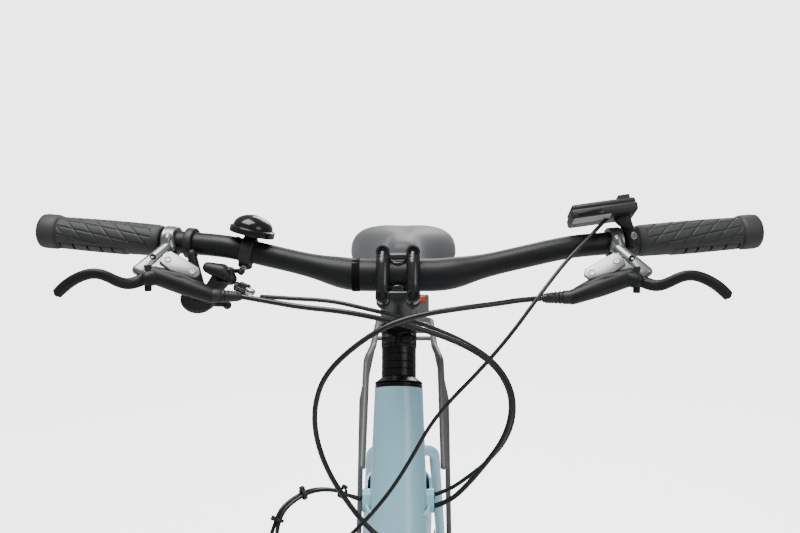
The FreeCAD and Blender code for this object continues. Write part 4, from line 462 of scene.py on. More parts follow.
SHIFT_CABLE = [
    (-0.1326, -0.358, 1.015), (-0.103, -0.364, 1.014), (-0.064, -0.371, 1.013), (-0.031, -0.375, 1.006),
    (0.002, -0.375, 0.998), (0.031, -0.371, 0.988), (0.064, -0.365, 0.973), (0.094, -0.357, 0.952),
    (0.112, -0.349, 0.924), (0.115, -0.347, 0.896), (0.107, -0.345, 0.870), (0.089, -0.341, 0.847),
    (0.068, -0.332, 0.827), (0.052, -0.327, 0.814), (0.0374, -0.325, 0.808)]
DISPLAY_CABLE = [
    (0.195, -0.346, 1.083), (0.181, -0.356, 1.070), (0.158, -0.371, 1.050), (0.133, -0.389, 1.022),
    (0.104, -0.399, 0.984), (0.076, -0.402, 0.952), (0.049, -0.402, 0.924), (0.030, -0.401, 0.900),
    (0.014, -0.400, 0.870), (-0.003, -0.401, 0.842), (-0.022, -0.404, 0.818), (-0.044, -0.407, 0.796),
    (-0.064, -0.408, 0.778), (-0.086, -0.407, 0.767), (-0.105, -0.402, 0.770)]
DISPLAY_PLUG = [(0.209, -0.333, 1.094), (0.203, -0.339, 1.0895)]
LIGHT_WIRE = [
    (-0.021, -0.394, 0.722), (-0.042, -0.397, 0.720), (-0.070, -0.401, 0.724), (-0.098, -0.402, 0.738),
    (-0.119, -0.398, 0.759)]
BUNDLE = [
    (-0.115, -0.391, 0.796), (-0.110, -0.385, 0.811), (-0.099, -0.377, 0.820), (-0.081, -0.365, 0.826),
    (-0.060, -0.345, 0.819), (-0.0485, -0.335, 0.809)]
BUNDLE_STEP = Vector((-0.0036, 0.0029, 0))
DISPLAY_TURN = (-0.115, -0.396, 0.781)
LIGHT_TURN = (-0.124, -0.392, 0.780)
DISPLAY_PORT = (-0.0374, -0.331, 0.804)
LIGHT_PORT = (-0.0374, -0.325, 0.804)
TIED_RUNS = (0, 2, 4)
REAR_HOSE_TAIL = [
    (0.063, 0.425, 0.350), (0.062, 0.437, 0.370), (0.060, 0.453, 0.388), (0.059, 0.470, 0.400),
    (0.058, 0.484, 0.404)]
SHIFT_TAIL = [
    (-0.068, 0.470, 0.332), (-0.074, 0.489, 0.316), (-0.082, 0.516, 0.301), (-0.089, 0.547, 0.291),
    (-0.092, 0.577, 0.290), (-0.091, 0.603, 0.301), (-0.087, 0.610, 0.322), (-0.082, 0.599, 0.340),
    (-0.078, 0.580, 0.345), (-0.075, 0.5648, 0.3375)]


def half_way(a, b):
    return (Vector(a) + Vector(b)) / 2


def cords(name, body, replaced, *lines):
    """One piece of round cords, each a route and a radius."""
    bm = bmesh.new()
    for route, radius in lines:
        swept(bm, route, radius)
    return show(name, bm, body, [cord_jacket()], replaced, sharp=50)


class BIKE_OT_front_hose(bpy.types.Operator):
    """Front brake hose from its lever, round the head tube and down the fork leg"""
    bl_idname = "bike.front_hose"
    bl_label = "Front Hose"

    def execute(self, context):
        cords("front_hose_line", "steering", ["front_hose"], (FRONT_HOSE, sizes().hose_radius))
        return {"FINISHED"}


class BIKE_OT_rear_cables(bpy.types.Operator):
    """Rear brake hose and shift cable, between the bar and the left port, and their rear ends"""
    bl_idname = "bike.rear_cables"
    bl_label = "Rear Hose and Shift Cable"

    def execute(self, context):
        hose = sizes().hose_radius
        cable = sizes().cable_radius
        piece = cords("rear_cable_lines", None, ["rear_cables"], (REAR_HOSE, hose), (SHIFT_CABLE, cable))
        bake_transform(piece)
        cords("cable_tail_lines", "frame", ["rear_cable_tails"], (REAR_HOSE_TAIL, hose), (SHIFT_TAIL, cable))
        return {"FINISHED"}


class BIKE_OT_wires(bpy.types.Operator):
    """Display cable and light wire, tied together on their way to the right port"""
    bl_idname = "bike.wires"
    bl_label = "Display Cable and Light Wire"

    strap_width = 0.0032
    strap_gap = 0.0004
    strap_thick = 0.0011
    lock_size = (0.005, 0.004, 0.0046)
    lock_lift = 0.0016
    lock_bevel = 0.0006

    def execute(self, context):
        radius = sizes().wire_radius
        display_join = half_way(DISPLAY_CABLE[-1], DISPLAY_TURN)
        light_join = half_way(LIGHT_WIRE[-1], LIGHT_TURN)
        cords("wire_lines", "steering", (), (DISPLAY_PLUG + DISPLAY_CABLE + [display_join], radius),
              (LIGHT_WIRE + [light_join], radius))
        bm = bmesh.new()
        beside = [Vector(point) + BUNDLE_STEP for point in BUNDLE]
        swept(bm, [display_join, DISPLAY_TURN] + BUNDLE + [DISPLAY_PORT], radius)
        swept(bm, [light_join, LIGHT_TURN] + beside + [LIGHT_PORT], radius)
        for run in TIED_RUNS:
            self.tie(bm, Vector(BUNDLE[run]), Vector(BUNDLE[run + 1]), radius)
        piece = show("tied_wires", bm, None, [cord_jacket(), moulded_plastic()],
                     ["bundle_wires"], sharp=50)
        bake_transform(piece)
        return {"FINISHED"}

    def tie(self, bm, a, b, radius):
        """Strap with its lock head round both wires."""
        way = (b - a).normalized()
        at = (a + b + BUNDLE_STEP) / 2
        inner = radius + BUNDLE_STEP.length / 2 + self.strap_gap
        outer = inner + self.strap_thick
        half = self.strap_width / 2
        lathe(bm, [(-half, inner), (-half, outer), (half, outer), (half, inner)], at, way, steps=24, skin=1)
        head = at + way.cross(BUNDLE_STEP).normalized() * (inner + self.lock_lift)
        rounded_box(bm, self.lock_size, Matrix.Translation(head) @ axis_turn(way), self.lock_bevel, skin=1)


# Stage

class BIKE_OT_stage(bpy.types.Operator):
    """Pale floor, soft studio lights and the camera at the viewing angle"""
    bl_idname = "bike.stage"
    bl_label = "Stage"

    floor_line = ((-4.0, 0.0), (2.2, 0.0), (4.2, 0.0), (4.6, 0.5), (4.6, 2.6), (4.6, 5.0))
    floor_half = 5.0
    backdrop_tint = (0.95, 0.96, 0.97, 1)
    backdrop_glow = 4.4
    floor_glow = 3.4
    room_glow = 0.3
    panels = (("key_panel", (-0.5, -0.7, 3.0), 1.5, 85.0, (0, -0.25, 0.9)),
              ("fill_panel", (1.8, -2.2, 2.0), 1.2, 16.0, (0, -0.2, 0.9)),
              ("back_panel", (0.6, 2.6, 2.8), 1.6, 60.0, (0, 0.2, 0.7)))
    lens = 44.46
    camera_place = (0.012, -1.301, 1.140)
    camera_tilt = 84.2
    camera_turn = 0.609

    def execute(self, context):
        self.floor(context.scene)
        self.room(context.scene)
        for panel in self.panels:
            self.light(*panel)
        camera = bpy.data.cameras.new("photo_camera")
        camera.sensor_width = 36.0
        camera.lens = self.lens
        camera.clip_start = 0.05
        view = bpy.data.objects.new("photo_camera", camera)
        view.location = self.camera_place
        view.rotation_euler = (math.radians(self.camera_tilt), 0, math.radians(self.camera_turn))
        context.scene.collection.objects.link(view)
        context.scene.camera = view
        return {"FINISHED"}

    def floor(self, scene):
        """Sheet that curves up behind the bike. Only the camera sees its glow, so it casts no light."""
        bm = bmesh.new()
        line = [bm.verts.new((-self.floor_half, y, z)) for y, z in self.floor_line]
        edges = [bm.edges.new(pair) for pair in zip(line, line[1:])]
        far = bmesh.ops.extrude_edge_only(bm, edges=edges)["geom"]
        bmesh.ops.translate(bm, vec=X * 2 * self.floor_half, verts=points_of(far))
        bmesh.ops.recalc_face_normals(bm, faces=bm.faces)
        mesh = bpy.data.meshes.new("floor")
        bm.to_mesh(mesh)
        bm.free()
        mesh.shade_smooth()
        floor = bpy.data.objects.new("floor", mesh)
        paint = finish("Pale Floor", (0.82, 0.825, 0.83), 0.9, shade=0.02, grain=40.0, dust=0.0)
        tree = paint.node_tree
        shader = tree.nodes["Principled BSDF"]
        shader.inputs["Emission Color"].default_value = self.backdrop_tint
        feed(shader.inputs["Emission Strength"], self.seen(tree, self.floor_glow))
        mesh.materials.append(paint)
        scene.collection.objects.link(floor)

    def room(self, scene):
        """Pale surroundings, brighter for the camera than for the light they give."""
        world = bpy.data.worlds.new("Studio")
        world.use_nodes = True
        tree = world.node_tree
        backdrop = tree.nodes["Background"]
        backdrop.inputs["Color"].default_value = self.backdrop_tint
        feed(backdrop.inputs["Strength"],
             value_node(tree.nodes, "ADD", self.seen(tree, self.backdrop_glow), self.room_glow))
        scene.world = world

    def seen(self, tree, glow):
        """A glow for camera rays, and none for others."""
        camera_ray = tree.nodes.new("ShaderNodeLightPath").outputs["Is Camera Ray"]
        return value_node(tree.nodes, "MULTIPLY", camera_ray, glow)

    def light(self, name, place, size, power, target):
        panel = bpy.data.lights.new(name, "AREA")
        panel.size = size
        panel.energy = power
        holder = bpy.data.objects.new(name, panel)
        holder.location = place
        aim = Vector(target) - Vector(place)
        holder.rotation_euler = aim.to_track_quat("-Z", "Y").to_euler()
        bpy.context.scene.collection.objects.link(holder)


# Cockpit

STEER = joint_axis("steering_turn")
STEERING_PLACE = (Matrix.Translation(joint_at("steering_turn"))
                  @ Matrix.Rotation(math.atan2(-STEER.y, STEER.z), 4, "X"))
BAR_MIDDLE = Vector((0, -0.35066, 1.03525))
BAR_ELBOW = Vector((0.165, -0.34266, 1.06225))
BAR_END = Vector((0.362, -0.30566, 1.07525))
BAR_STRAIGHT = 0.045
BAR_GAP = 0.0002
BAR_WAY = (BAR_END - BAR_ELBOW).normalized()
INNER_WAY = (BAR_ELBOW - BAR_MIDDLE - X * BAR_STRAIGHT).normalized()


def on_bar(x):
    """Point on the axis of the bar's left arm at a distance from the middle."""
    way = BAR_WAY if x > BAR_ELBOW.x else INNER_WAY
    return BAR_ELBOW + way * ((x - BAR_ELBOW.x) / way.x)


def clamp_bore():
    return sizes().bar_radius + BAR_GAP


BRAKES = (("left", on_bar(0.211)), ("right", on_bar(0.223)))
SHIFTER = on_bar(0.203)
BELL = on_bar(0.146)
DISPLAY = on_bar(0.226)


class BIKE_OT_handlebar(bpy.types.Operator):
    """Riser bar, thick in the stem and tapered towards its bends, with a plain dark band"""
    bl_idname = "bike.handlebar"
    bl_label = "Handlebar"

    arm_stops = ((0.075, 1.12), (0.094, 1.0), (0.122, 1.0), (0.152, 1.0), (0.172, 1.0), (0.205, 1.0),
                 (0.28, 1.0), (0.3540, 1.0))
    mark_out = 0.0405
    mark_half = 0.0038
    mark_proud = 0.0001
    mark_sunk = 0.001

    def execute(self, context):
        radius = sizes().bar_radius
        thick = sizes().bar_clamp_radius / radius
        stops = ((0.018, thick), (0.040, thick), (0.056, thick * 0.97)) + self.arm_stops
        left = [(BAR_MIDDLE + X * x if x < BAR_STRAIGHT else on_bar(x), scale) for x, scale in stops]
        line = [(MIRROR @ point, scale) for point, scale in reversed(left)] + left
        bm = bmesh.new()
        swept(bm, [point for point, scale in line], radius, scales=[scale for point, scale in line])
        rim = sizes().bar_clamp_radius + self.mark_proud
        inner = rim - self.mark_sunk
        lathe(bm, [(-self.mark_half, inner), (-self.mark_half, rim), (self.mark_half, rim),
                   (self.mark_half, inner)], BAR_MIDDLE - X * self.mark_out, X, skin=1)
        show("riser_bar", bm, "steering", [black_coat(), bar_mark()], ["handlebar"], sharp=60)
        return {"FINISHED"}


class BIKE_OT_stem(bpy.types.Operator):
    """Stem with its neck and steerer clamp, two faceplate straps, bolts and the spacer stack"""
    bl_idname = "bike.stem"
    bl_label = "Stem and Spacers"

    base = Z * 0.225
    height = 0.044
    plate = mm(0, -100, 276.5)
    bolt_out = 14.5
    bolt_ups = (-21.5, 21.5)
    clamp_ups = (7.5, 20.5)
    window_out = 0.0088
    window_drop = 0.0075
    lip_radius = 0.0015
    lip_reach = 0.0182
    spacer_foot = Z * 0.187
    cover_height = 0.007
    spacers = 4
    spacer_height = 0.00775
    bore = 0.0146
    upper_ring = Z * 0.1823
    round_steps = 64

    def execute(self, context):
        self.neck()
        self.faceplate()
        self.bolts()
        self.stack()
        return {"FINISHED"}

    def shown(self, name, bm, body, slot, finishes, replaced):
        bmesh.ops.transform(bm, matrix=STEERING_PLACE, verts=bm.verts)
        show(name, bm, body, finishes, replaced)

    def neck(self):
        bm = bmesh.new()
        lathe(bm, [(0, 0.0145), (0, 0.0179), (0.0007, 0.0186), (self.height - 0.0012, 0.0186),
                   (self.height, 0.0174), (self.height, 0.0145)], self.base, Z)
        hull(bm, self.base, ((0, 0, 24, 15), (0, -12, 30, 15.5), (0, -74, 43, 13.5), (-12, -82, 51, 10.5),
                             (12, -82, 51, 10.5)), segments=28)
        for side in SIDES:
            out = side * self.bolt_out
            hull(bm, self.plate, [(out, 9, up, 6.8) for up in self.bolt_ups] + [(out, 16, 3.5, 7.2)])
            for up in self.clamp_ups:
                hull(bm, self.base, [(side * reach, -17.5, up, 5.6) for reach in (7.2, 11.5)])
        lathe(bm, [(0.0003, 0), (0.0003, 0.0176), (0.0012, 0.0185), (0.0032, 0.0185), (0.0042, 0.0172),
                   (0.0042, 0.006), (0.003, 0.0052), (0.003, 0)], self.base + Z * self.height, Z)
        self.shown("stem_neck", bm, "steering", "black_metal", [black_coat()], ["stem"])

    def faceplate(self):
        bm = bmesh.new()
        for side in SIDES:
            out = side * self.bolt_out
            hull(bm, self.plate, [(out, -12, up, 6.8) for up in (-21.6, 21.6)]
                 + [(out, -16, up, 6.6) for up in (-10, 10)], segments=28)
            for up in self.bolt_ups:
                lathe(bm, [(-0.006, 0.0067), (0.0004, 0.0067), (0.0014, 0.0057), (0.0014, 0.0045),
                           (-0.003, 0.0045)], self.plate + mm(out, -19.2, up), -Y, steps=28)
        for up in (-18.5, 18.5):
            hull(bm, self.plate, [(out, -13.5, up, 3.2) for out in (-11, 11)])
            self.arch(bm, up * MM)
        self.shown("faceplate_straps", bm, "steering", "black_metal", [satin_black()], ["stem_faceplate"])

    def arch(self, bm, up):
        """Half-round lip of the window between the straps."""
        inward = -math.copysign(1, up)
        line = []
        for k in range(9):
            turn = math.pi * k / 8
            rise = up + self.window_drop * math.sin(turn) * inward
            depth = -math.sqrt(self.lip_reach ** 2 - rise ** 2) if abs(rise) < self.lip_reach else -0.003
            line.append(self.plate + Vector((-self.window_out * math.cos(turn), depth, rise)))
        swept(bm, line, self.lip_radius)

    def bolts(self):
        bm = bmesh.new()
        for side in SIDES:
            out = side * self.bolt_out
            for up in self.bolt_ups:
                bolt(bm, self.plate + mm(out, -17.2, up), -Y, 0.0042, 0.0026)
            for up in self.clamp_ups:
                bolt(bm, self.base + mm(out, -19.5, up), X * side, 0.0034, 0.0032)
        self.shown("stem_screws", bm, "steering", "steel", [black_anodised()], ["stem_bolts"])

    def stack(self):
        """Conical cover, spacers and the bearings' rings at both ends of the head tube."""
        bm = bmesh.new()
        lathe(bm, [(0, self.bore), (0, 0.0236), (0.0004, 0.0249), (0.0014, 0.0249), (0.0022, 0.0238),
                   (0.0064, 0.0183), (self.cover_height, 0.0178), (self.cover_height, self.bore)],
              self.spacer_foot, Z, self.round_steps)
        for k in range(self.spacers):
            low = self.cover_height + k * self.spacer_height
            band(bm, self.spacer_foot, Z, (low, low + self.spacer_height), self.bore, 0.018, (0.0005, 0.0006),
                 self.round_steps)
        self.shown("spacer_stack", bm, "steering", "black_metal", [black_anodised()], ["headset_spacers"])
        bm = bmesh.new()
        lathe(bm, [(0, 0.015), (0, 0.0242), (0.0006, 0.0249), (0.0015, 0.0249), (0.0020, 0.0243),
                   (0.0025, 0.0249), (0.0034, 0.0249), (0.0040, 0.0242), (0.0040, 0.015)], self.upper_ring,
              Z, self.round_steps)
        lathe(bm, [(0.0006, 0.0155), (0.0006, 0.0302), (0.002, 0.0309), (0.010, 0.0309), (0.0116, 0.0302),
                   (0.0116, 0.0155)], Vector(), Z, self.round_steps)
        self.shown("headset_rings", bm, "frame", "black_metal", [black_anodised()], ["headset_bearings"])


class BIKE_OT_grips(bpy.types.Operator):
    """Rubber grips with an end collar, crossed cut lines above and fins below"""
    bl_idname = "bike.grips"
    bl_label = "Grips"

    length = 0.130
    from_end = 0.1325
    flare = 0.006
    sleeve = 0.102
    sleeve_radius = 0.0156
    swell = 0.0006
    steps = 160
    cut_zone = (0.009, 0.1075)
    line_gap = 0.0088
    line_slope = 0.13
    cross_gap = 0.0156
    cross_slope = 0.92
    cut_half = 0.0009
    fin_zone = (0.036, 0.1065)
    fin_angle = math.radians(128)
    cut_angle = math.radians(112)
    slits = (0.048, 0.060, 0.075, 0.090, 0.105)

    def execute(self, context):
        bm = bmesh.new()
        start = BAR_END - BAR_WAY * self.from_end
        profile = [(0.0, 0.0114), (0.0, 0.0136), (0.0012, 0.0148), (self.flare, self.sleeve_radius)]
        for k in range(1, self.steps + 1):
            share = k / self.steps
            radius = self.sleeve_radius + self.swell * math.sin(math.pi * share)
            profile.append((self.flare + self.sleeve * share, radius))
        profile += [(0.1085, 0.0150), (0.1095, 0.0150), (0.1102, 0.0166), (0.113, 0.0174), (0.124, 0.0175),
                    (0.1282, 0.0168), (0.1298, 0.0150), (self.length, 0.0130), (self.length, 0)]
        lathe(bm, profile, start, BAR_WAY, self.steps)
        up = (Z - BAR_WAY * Z.dot(BAR_WAY)).normalized()
        ahead = BAR_WAY.cross(up)
        for vert in bm.verts:
            arm = vert.co - start
            along = arm.dot(BAR_WAY)
            radial = arm - BAR_WAY * along
            if self.cut_zone[0] < along < self.cut_zone[1] and radial.length > 0.013:
                angle = math.atan2(radial.dot(ahead), radial.dot(up))
                vert.co += radial.normalized() * self.relief(along, angle)
        left = bm.copy()
        show("grip_left", left, "steering", [grip_rubber()], sharp=60)
        show("grip_right", bm, "steering", [grip_rubber()], ["grips"], sharp=60, mirror=True)
        return {"FINISHED"}

    def relief(self, along, angle):
        """Height above the smooth sleeve: cut lines on top, slits between fins below."""
        if abs(angle) > self.fin_angle:
            if any(abs(along - slit) < self.cut_half for slit in self.slits):
                return -0.0026
            return 0.0008 if self.fin_zone[0] < along < self.fin_zone[1] else 0.0
        if abs(angle) > self.cut_angle:
            return 0.0
        around = angle * 0.016
        shallow = ((around + self.line_slope * along) / self.line_gap) % 1 - 0.5
        steep = ((around + self.cross_slope * along) / self.cross_gap) % 1 - 0.5
        gap = min(abs(shallow) * self.line_gap, abs(steep) * self.cross_gap * 0.74)
        return -sizes().groove_depth * max(0.0, 1 - (gap / self.cut_half) ** 2)


class BIKE_OT_brakes(bpy.types.Operator):
    """Hydraulic brake bodies: hinged clamp band, silver arm, black cylinder, ribbed boot and screwed lid"""
    bl_idname = "bike.brakes"
    bl_label = "Brake Bodies and Lids"

    silver_forms = (((-1, -15, -4, 4.2), (1, -15, 5, 4.2), (2, -19, -6, 4.6), (0, -18, 4, 4)),
                    ((0, -15, 5, 5), (3, -19, -6, 5.6), (-3, -17, -4, 4.6)),
                    ((1, -19, -5, 6), (12, -31, -16, 6.6), (24, -40, -24, 4.8), (18.5, -40.5, -26.5, 5)),
                    ((2, -20, -8, 5), (18, -36, -23, 5), (8, -36, -26, 5.2), (-6, -33, -25, 5.8)))
    cylinder = ((9, -36, -29, 9.2), (-20, -39, -39, 9.2), (-46, -42, -48, 7.2))
    black_forms = (((6, -37, -30, 8.5), (-16, -37, -33, 8), (-40, -40, -44, 6.2)),
                   ((14, -41, -32, 7.8), (14, -35, -30, 7.8), (6, -37, -30, 8.5)))
    boot_start = mm(-46, -42, -48)
    boot_end = mm(-75, -43, -49)
    boot_ribs = 4
    lid_outline = ((0.0205, 0.0040), (0.0150, 0.0092), (-0.0165, 0.0014), (-0.0198, -0.0045),
                   (-0.0165, -0.0108), (0.0080, -0.0112), (0.0212, -0.0058))
    lid_thick = 0.0038
    lid_bevel = 0.0011
    lid_screws = ((0.0138, -0.0010), (-0.0118, -0.0050))
    lid_place = mm(-17.5, -34, -19)
    lid_roll = math.radians(-18)
    lid_tip = math.radians(53)

    def execute(self, context):
        for side, at in BRAKES:
            self.body(side, at)
            self.lid(side, at)
        return {"FINISHED"}

    def body(self, side, at):
        bm = bmesh.new()
        band(bm, at, BAR_WAY, (-0.006, 0.006), clamp_bore(), 0.0151, (0.0008, 0.0007), steps=56)
        for balls in self.silver_forms:
            hull(bm, at, balls)
        hull(bm, at, self.cylinder, skin=1, segments=28)
        for balls in self.black_forms:
            hull(bm, at, balls, skin=1)
        self.boot(bm, at)
        bolt(bm, at + mm(10, -34.5, -12.5), mm(1, -9, 5).normalized(), 0.0030, 0.0024, skin=1)
        pivot = joint_at("brake_lever_left_pull") + at - BRAKES[0][1]
        lathe(bm, [(-0.012, 0), (-0.012, 0.0034), (0.0122, 0.0034), (0.013, 0.0028), (0.013, 0)], pivot, Z,
              steps=24, skin=1)
        show("brake_body_" + side, bm, "steering",
             [silver(), black_coat(), moulded_plastic(), steel()], ["brake_bodies"], sharp=40,
             mirror=side == "right")

    def boot(self, bm, at):
        """Rubber boot at the hose's end, with ribs that grow smaller."""
        profile = [(0.0, 0.0), (0.0, 0.0068), (0.009, 0.0064), (0.0098, 0.0058)]
        for rib in range(self.boot_ribs):
            foot = 0.0108 + rib * 0.0038
            less = rib * 0.0004
            profile += [(foot, 0.0052), (foot + 0.0005, 0.0062 - less), (foot + 0.0023, 0.0060 - less),
                        (foot + 0.0028, 0.0050)]
        profile += [(0.0268, 0.0042), (0.029, 0.0036), (0.029, 0)]
        way = (self.boot_end - self.boot_start).normalized()
        lathe(bm, profile, at + self.boot_start, way, steps=32, skin=2)

    def lid(self, side, at):
        bm = bmesh.new()
        base = bm.faces.new([bm.verts.new((x, y, -self.lid_thick / 2)) for x, y in self.lid_outline])
        pushed(bm, [base], Z * self.lid_thick)
        edges = list({edge for face in bm.faces for edge in face.edges})
        bmesh.ops.bevel(bm, geom=edges, offset=self.lid_bevel, segments=3, profile=0.5, affect="EDGES",
                        material=-1)
        for x, y in self.lid_screws:
            lathe(bm, [(0.0, 0.0034), (0.0022, 0.0034), (0.0026, 0.0030), (0.0026, 0.0026), (0.0018, 0.0026),
                       (0.0018, 0)], Vector((x, y, 0)), Z, steps=24)
            bolt(bm, Vector((x, y, 0.0012)), Z, 0.0023, 0.0012, skin=1)
        turn = Matrix.Rotation(self.lid_roll, 4, "Y") @ Matrix.Rotation(self.lid_tip, 4, "X")
        moved(bm, bm.faces, Matrix.Translation(at + self.lid_place) @ turn)
        show("brake_lid_" + side, bm, "steering", [silver(), steel()], ["brake_lids"],
             sharp=35, mirror=side == "right")


class BIKE_OT_brake_levers(bpy.types.Operator):
    """Two-finger lever blades, curved and flattened, with a knuckle at the hinge"""
    bl_idname = "bike.brake_levers"
    bl_label = "Brake Levers"

    blade = ((17, -42, -32, 1.2), (25, -46, -36, 1.15), (33, -51, -37, 1.05), (43, -56, -31, 1.0),
             (52, -58, -26, 1.0), (62, -58, -25, 1.0), (72, -58, -28, 1.02), (82, -57, -33, 1.05),
             (90, -55.5, -39, 1.1), (96, -54.5, -45, 1.0))
    blade_radius = 0.0034
    blade_height = 0.0016
    tip = ((95, -54.7, -44, 4), (93, -55.1, -42, 4))
    root = ((22, -45.5, -33.5, 4), (31, -50, -36.5, 3.8))
    hinge = mm(14, -41, -32)

    def execute(self, context):
        for side, at in BRAKES:
            bm = bmesh.new()
            line = [at + mm(x, y, z) for x, y, z, scale in self.blade]
            scales = [scale for x, y, z, scale in self.blade]
            swept(bm, line, self.blade_radius, self.blade_height, scales, order=4)
            hull(bm, at, self.tip)
            band(bm, at + self.hinge, Z, (-0.0042, 0.0042), 0.0036, 0.007, (0.0006, 0.0006), steps=32)
            hull(bm, at, self.root)
            show("lever_blade_" + side, bm, "brake_lever_" + side, [black_coat()],
                 ["brake_lever_" + side], sharp=50, mirror=side == "right")
        return {"FINISHED"}


class BIKE_OT_shifter(bpy.types.Operator):
    """Gear shifter under the right arm: round drum, bare gear pod, thumb lever, trigger, barrel adjuster"""
    bl_idname = "bike.shifter"
    bl_label = "Shifter"

    hub = SHIFTER + mm(-7, -4, -57)
    pod = SHIFTER + mm(-34, -10, -31)
    hinge = pod + mm(-5, 0, 3.5)
    adjuster = pod + mm(-11.5, -2, -10)
    adjuster_way = mm(-17.5, -9, -5).normalized()
    drum_squash = 0.82
    drum_lift = mm(0, 0, 2.5)
    knurls = 40
    knurl_radii = (0.0053, 0.0060)
    knurl_start = 0.004
    knurl_length = 0.010

    def execute(self, context):
        self.body()
        self.thumb_lever()
        self.trigger()
        return {"FINISHED"}

    def body(self):
        bm = bmesh.new()
        band(bm, SHIFTER, BAR_WAY, (-0.004, 0.004), clamp_bore(), 0.0151, (0.0008, 0.0005))
        hull(bm, SHIFTER, ((-3, -13, -9, 4.2), (-5, -12, -30, 5.6), (-9, -8, -49, 6.8)))
        drum = lathe(bm, [(-0.011, 0), (-0.011, 0.0125), (-0.0098, 0.0158), (-0.0072, 0.0168),
                          (0.0072, 0.0168), (0.0098, 0.0158), (0.0104, 0.0135), (0.0098, 0.0128),
                          (0.0098, 0.0085), (0.0104, 0.0078), (0.0104, 0.0034), (0.0096, 0.0028),
                          (0.0096, 0)], self.hub, -Y, steps=56)
        squash = Matrix.Scale(self.drum_squash, 4, Z)
        moved(bm, drum,
              Matrix.Translation(self.hub + self.drum_lift) @ squash @ Matrix.Translation(-self.hub))
        hull(bm, SHIFTER, ((-15, -7, -53, 7.5), (-32, -9, -36, 7), (-30, -9, -29, 6.2)))
        hull(bm, self.pod, ((16, 0, 8, 5.5), (2, -1, 4, 7.8), (-6, -1, -3, 6.2)))
        rounded_box(bm, (0.0198, 0.0128, 0.0170), self.pod, 0.0040, 4)
        rounded_box(bm, (0.0138, 0.0010, 0.0118), self.pod + mm(0, -6.5, 0.6), 0.0004, 2, skin=1)
        lathe(bm, [(0, 0), (0, 0.0048), (0.004, 0.0044)], self.adjuster, self.adjuster_way, steps=24)
        self.knurled_sleeve(bm)
        lathe(bm, [(0.0132, 0.0046), (0.0148, 0.0043), (0.0152, 0.0034), (0.0205, 0.0031), (0.0212, 0.0026),
                   (0.0212, 0)], self.adjuster, self.adjuster_way, steps=24, skin=2)
        show("shifter_case", bm, "steering",
             [moulded_plastic(), gloss_black(), steel()], ["shifter_body"], sharp=38, mirror=True)

    def knurled_sleeve(self, bm):
        """Closed ring of two radii by turns, pushed along the adjuster."""
        start = self.adjuster + self.adjuster_way * self.knurl_start
        place = Matrix.Translation(start) @ axis_turn(self.adjuster_way)
        ring = []
        for k in range(self.knurls):
            turn = Matrix.Rotation(math.tau * k / self.knurls, 4, "Z")
            ring.append(bm.verts.new(place @ turn @ (X * self.knurl_radii[k % 2])))
        pushed(bm, [bm.faces.new(ring)], self.adjuster_way * self.knurl_length)

    def thumb_lever(self):
        bm = bmesh.new()
        lathe(bm, [(0.0114, 0), (0.0114, 0.0112), (0.0120, 0.0119), (0.0150, 0.0119), (0.0158, 0.0110),
                   (0.0158, 0.004), (0.0150, 0.0034), (0.0150, 0)], self.hub, Y, steps=40)
        hull(bm, self.hub, ((-4, 13.6, -1, 2.1), (-24, 14.6, -5.5, 2.4), (-5, 13.6, -5, 2)))
        hull(bm, self.hub, ((-25, 14.8, -6, 4.3), (-25, 18, -6, 3.9)))
        show("thumb_lever", bm, "shift_thumb_lever", [moulded_plastic()],
             ["shift_thumb_lever"], sharp=45, mirror=True)

    def trigger(self):
        bm = bmesh.new()
        lathe(bm, [(0.0066, 0), (0.0066, 0.0030), (0.0106, 0.0030), (0.0112, 0.0024), (0.0112, 0)],
              self.hinge, Y, steps=24)
        hull(bm, self.hinge, ((0, 9.4, 0, 2), (-9.5, 8.6, 0.3, 2.4)))
        hull(bm, self.hinge, ((-10.5, 7, 0.4, 3.4), (-11.5, -3.2, 0.4, 3.2), (-11, -2.6, 1.2, 3.2)))
        show("trigger_paddle", bm, "shift_trigger", [moulded_plastic()],
             ["shift_trigger"], sharp=45, mirror=True)


class BIKE_OT_bell(bpy.types.Operator):
    """Bell on the right arm: strap with its screw, thick flat rim and dome"""
    bl_idname = "bike.bell"
    bl_label = "Bell"

    rim_lift = 0.0161
    dome_radius = 0.0194
    dome_rise = 0.0126
    dome_foot = 0.0068
    wall = 0.0014
    steps = 12

    def execute(self, context):
        bm = bmesh.new()
        up = Vector((-INNER_WAY.z, 0, INNER_WAY.x)).normalized()
        band(bm, BELL, INNER_WAY, (-0.006, 0.006), clamp_bore(), 0.0143, (0.0008, 0.0007))
        lug = [(*(INNER_WAY * out - up * 14.5), 3.2) for out in (-4, 4)]
        hull(bm, BELL, lug + [(*(-up * 16.2 - Y * 3), 3)])
        bolt(bm, BELL - up * 0.016 + mm(0, -5, 0), -Y, 0.0026, 0.0022, skin=2)
        lathe(bm, [(0.0140, 0), (0.0140, 0.0075), (0.0172, 0.0066), (0.0172, 0)], BELL, up, steps=32)
        profile = [(0.0006, 0.0190), (0.0, 0.0196), (0.0, 0.0214), (0.0007, 0.0220), (0.0056, 0.0220),
                   (0.0064, 0.0212), (0.0066, 0.0198)]
        profile += self.dome(0.0) + self.dome(self.wall)[::-1] + [profile[0]]
        lathe(bm, profile, BELL + up * self.rim_lift, up, steps=72, skin=1)
        show("bell_dome", bm, "steering", [moulded_plastic(), gloss_black(), steel()],
             ["bell"], sharp=38, mirror=True)
        return {"FINISHED"}

    def dome(self, inset):
        """Quarter of an oval, from the rim to the top."""
        points = []
        for k in range(self.steps + 1):
            turn = math.pi / 2 * k / self.steps
            rise = self.dome_foot - inset + self.dome_rise * math.sin(turn)
            points.append((rise, (self.dome_radius - inset) * math.cos(turn)))
        return points


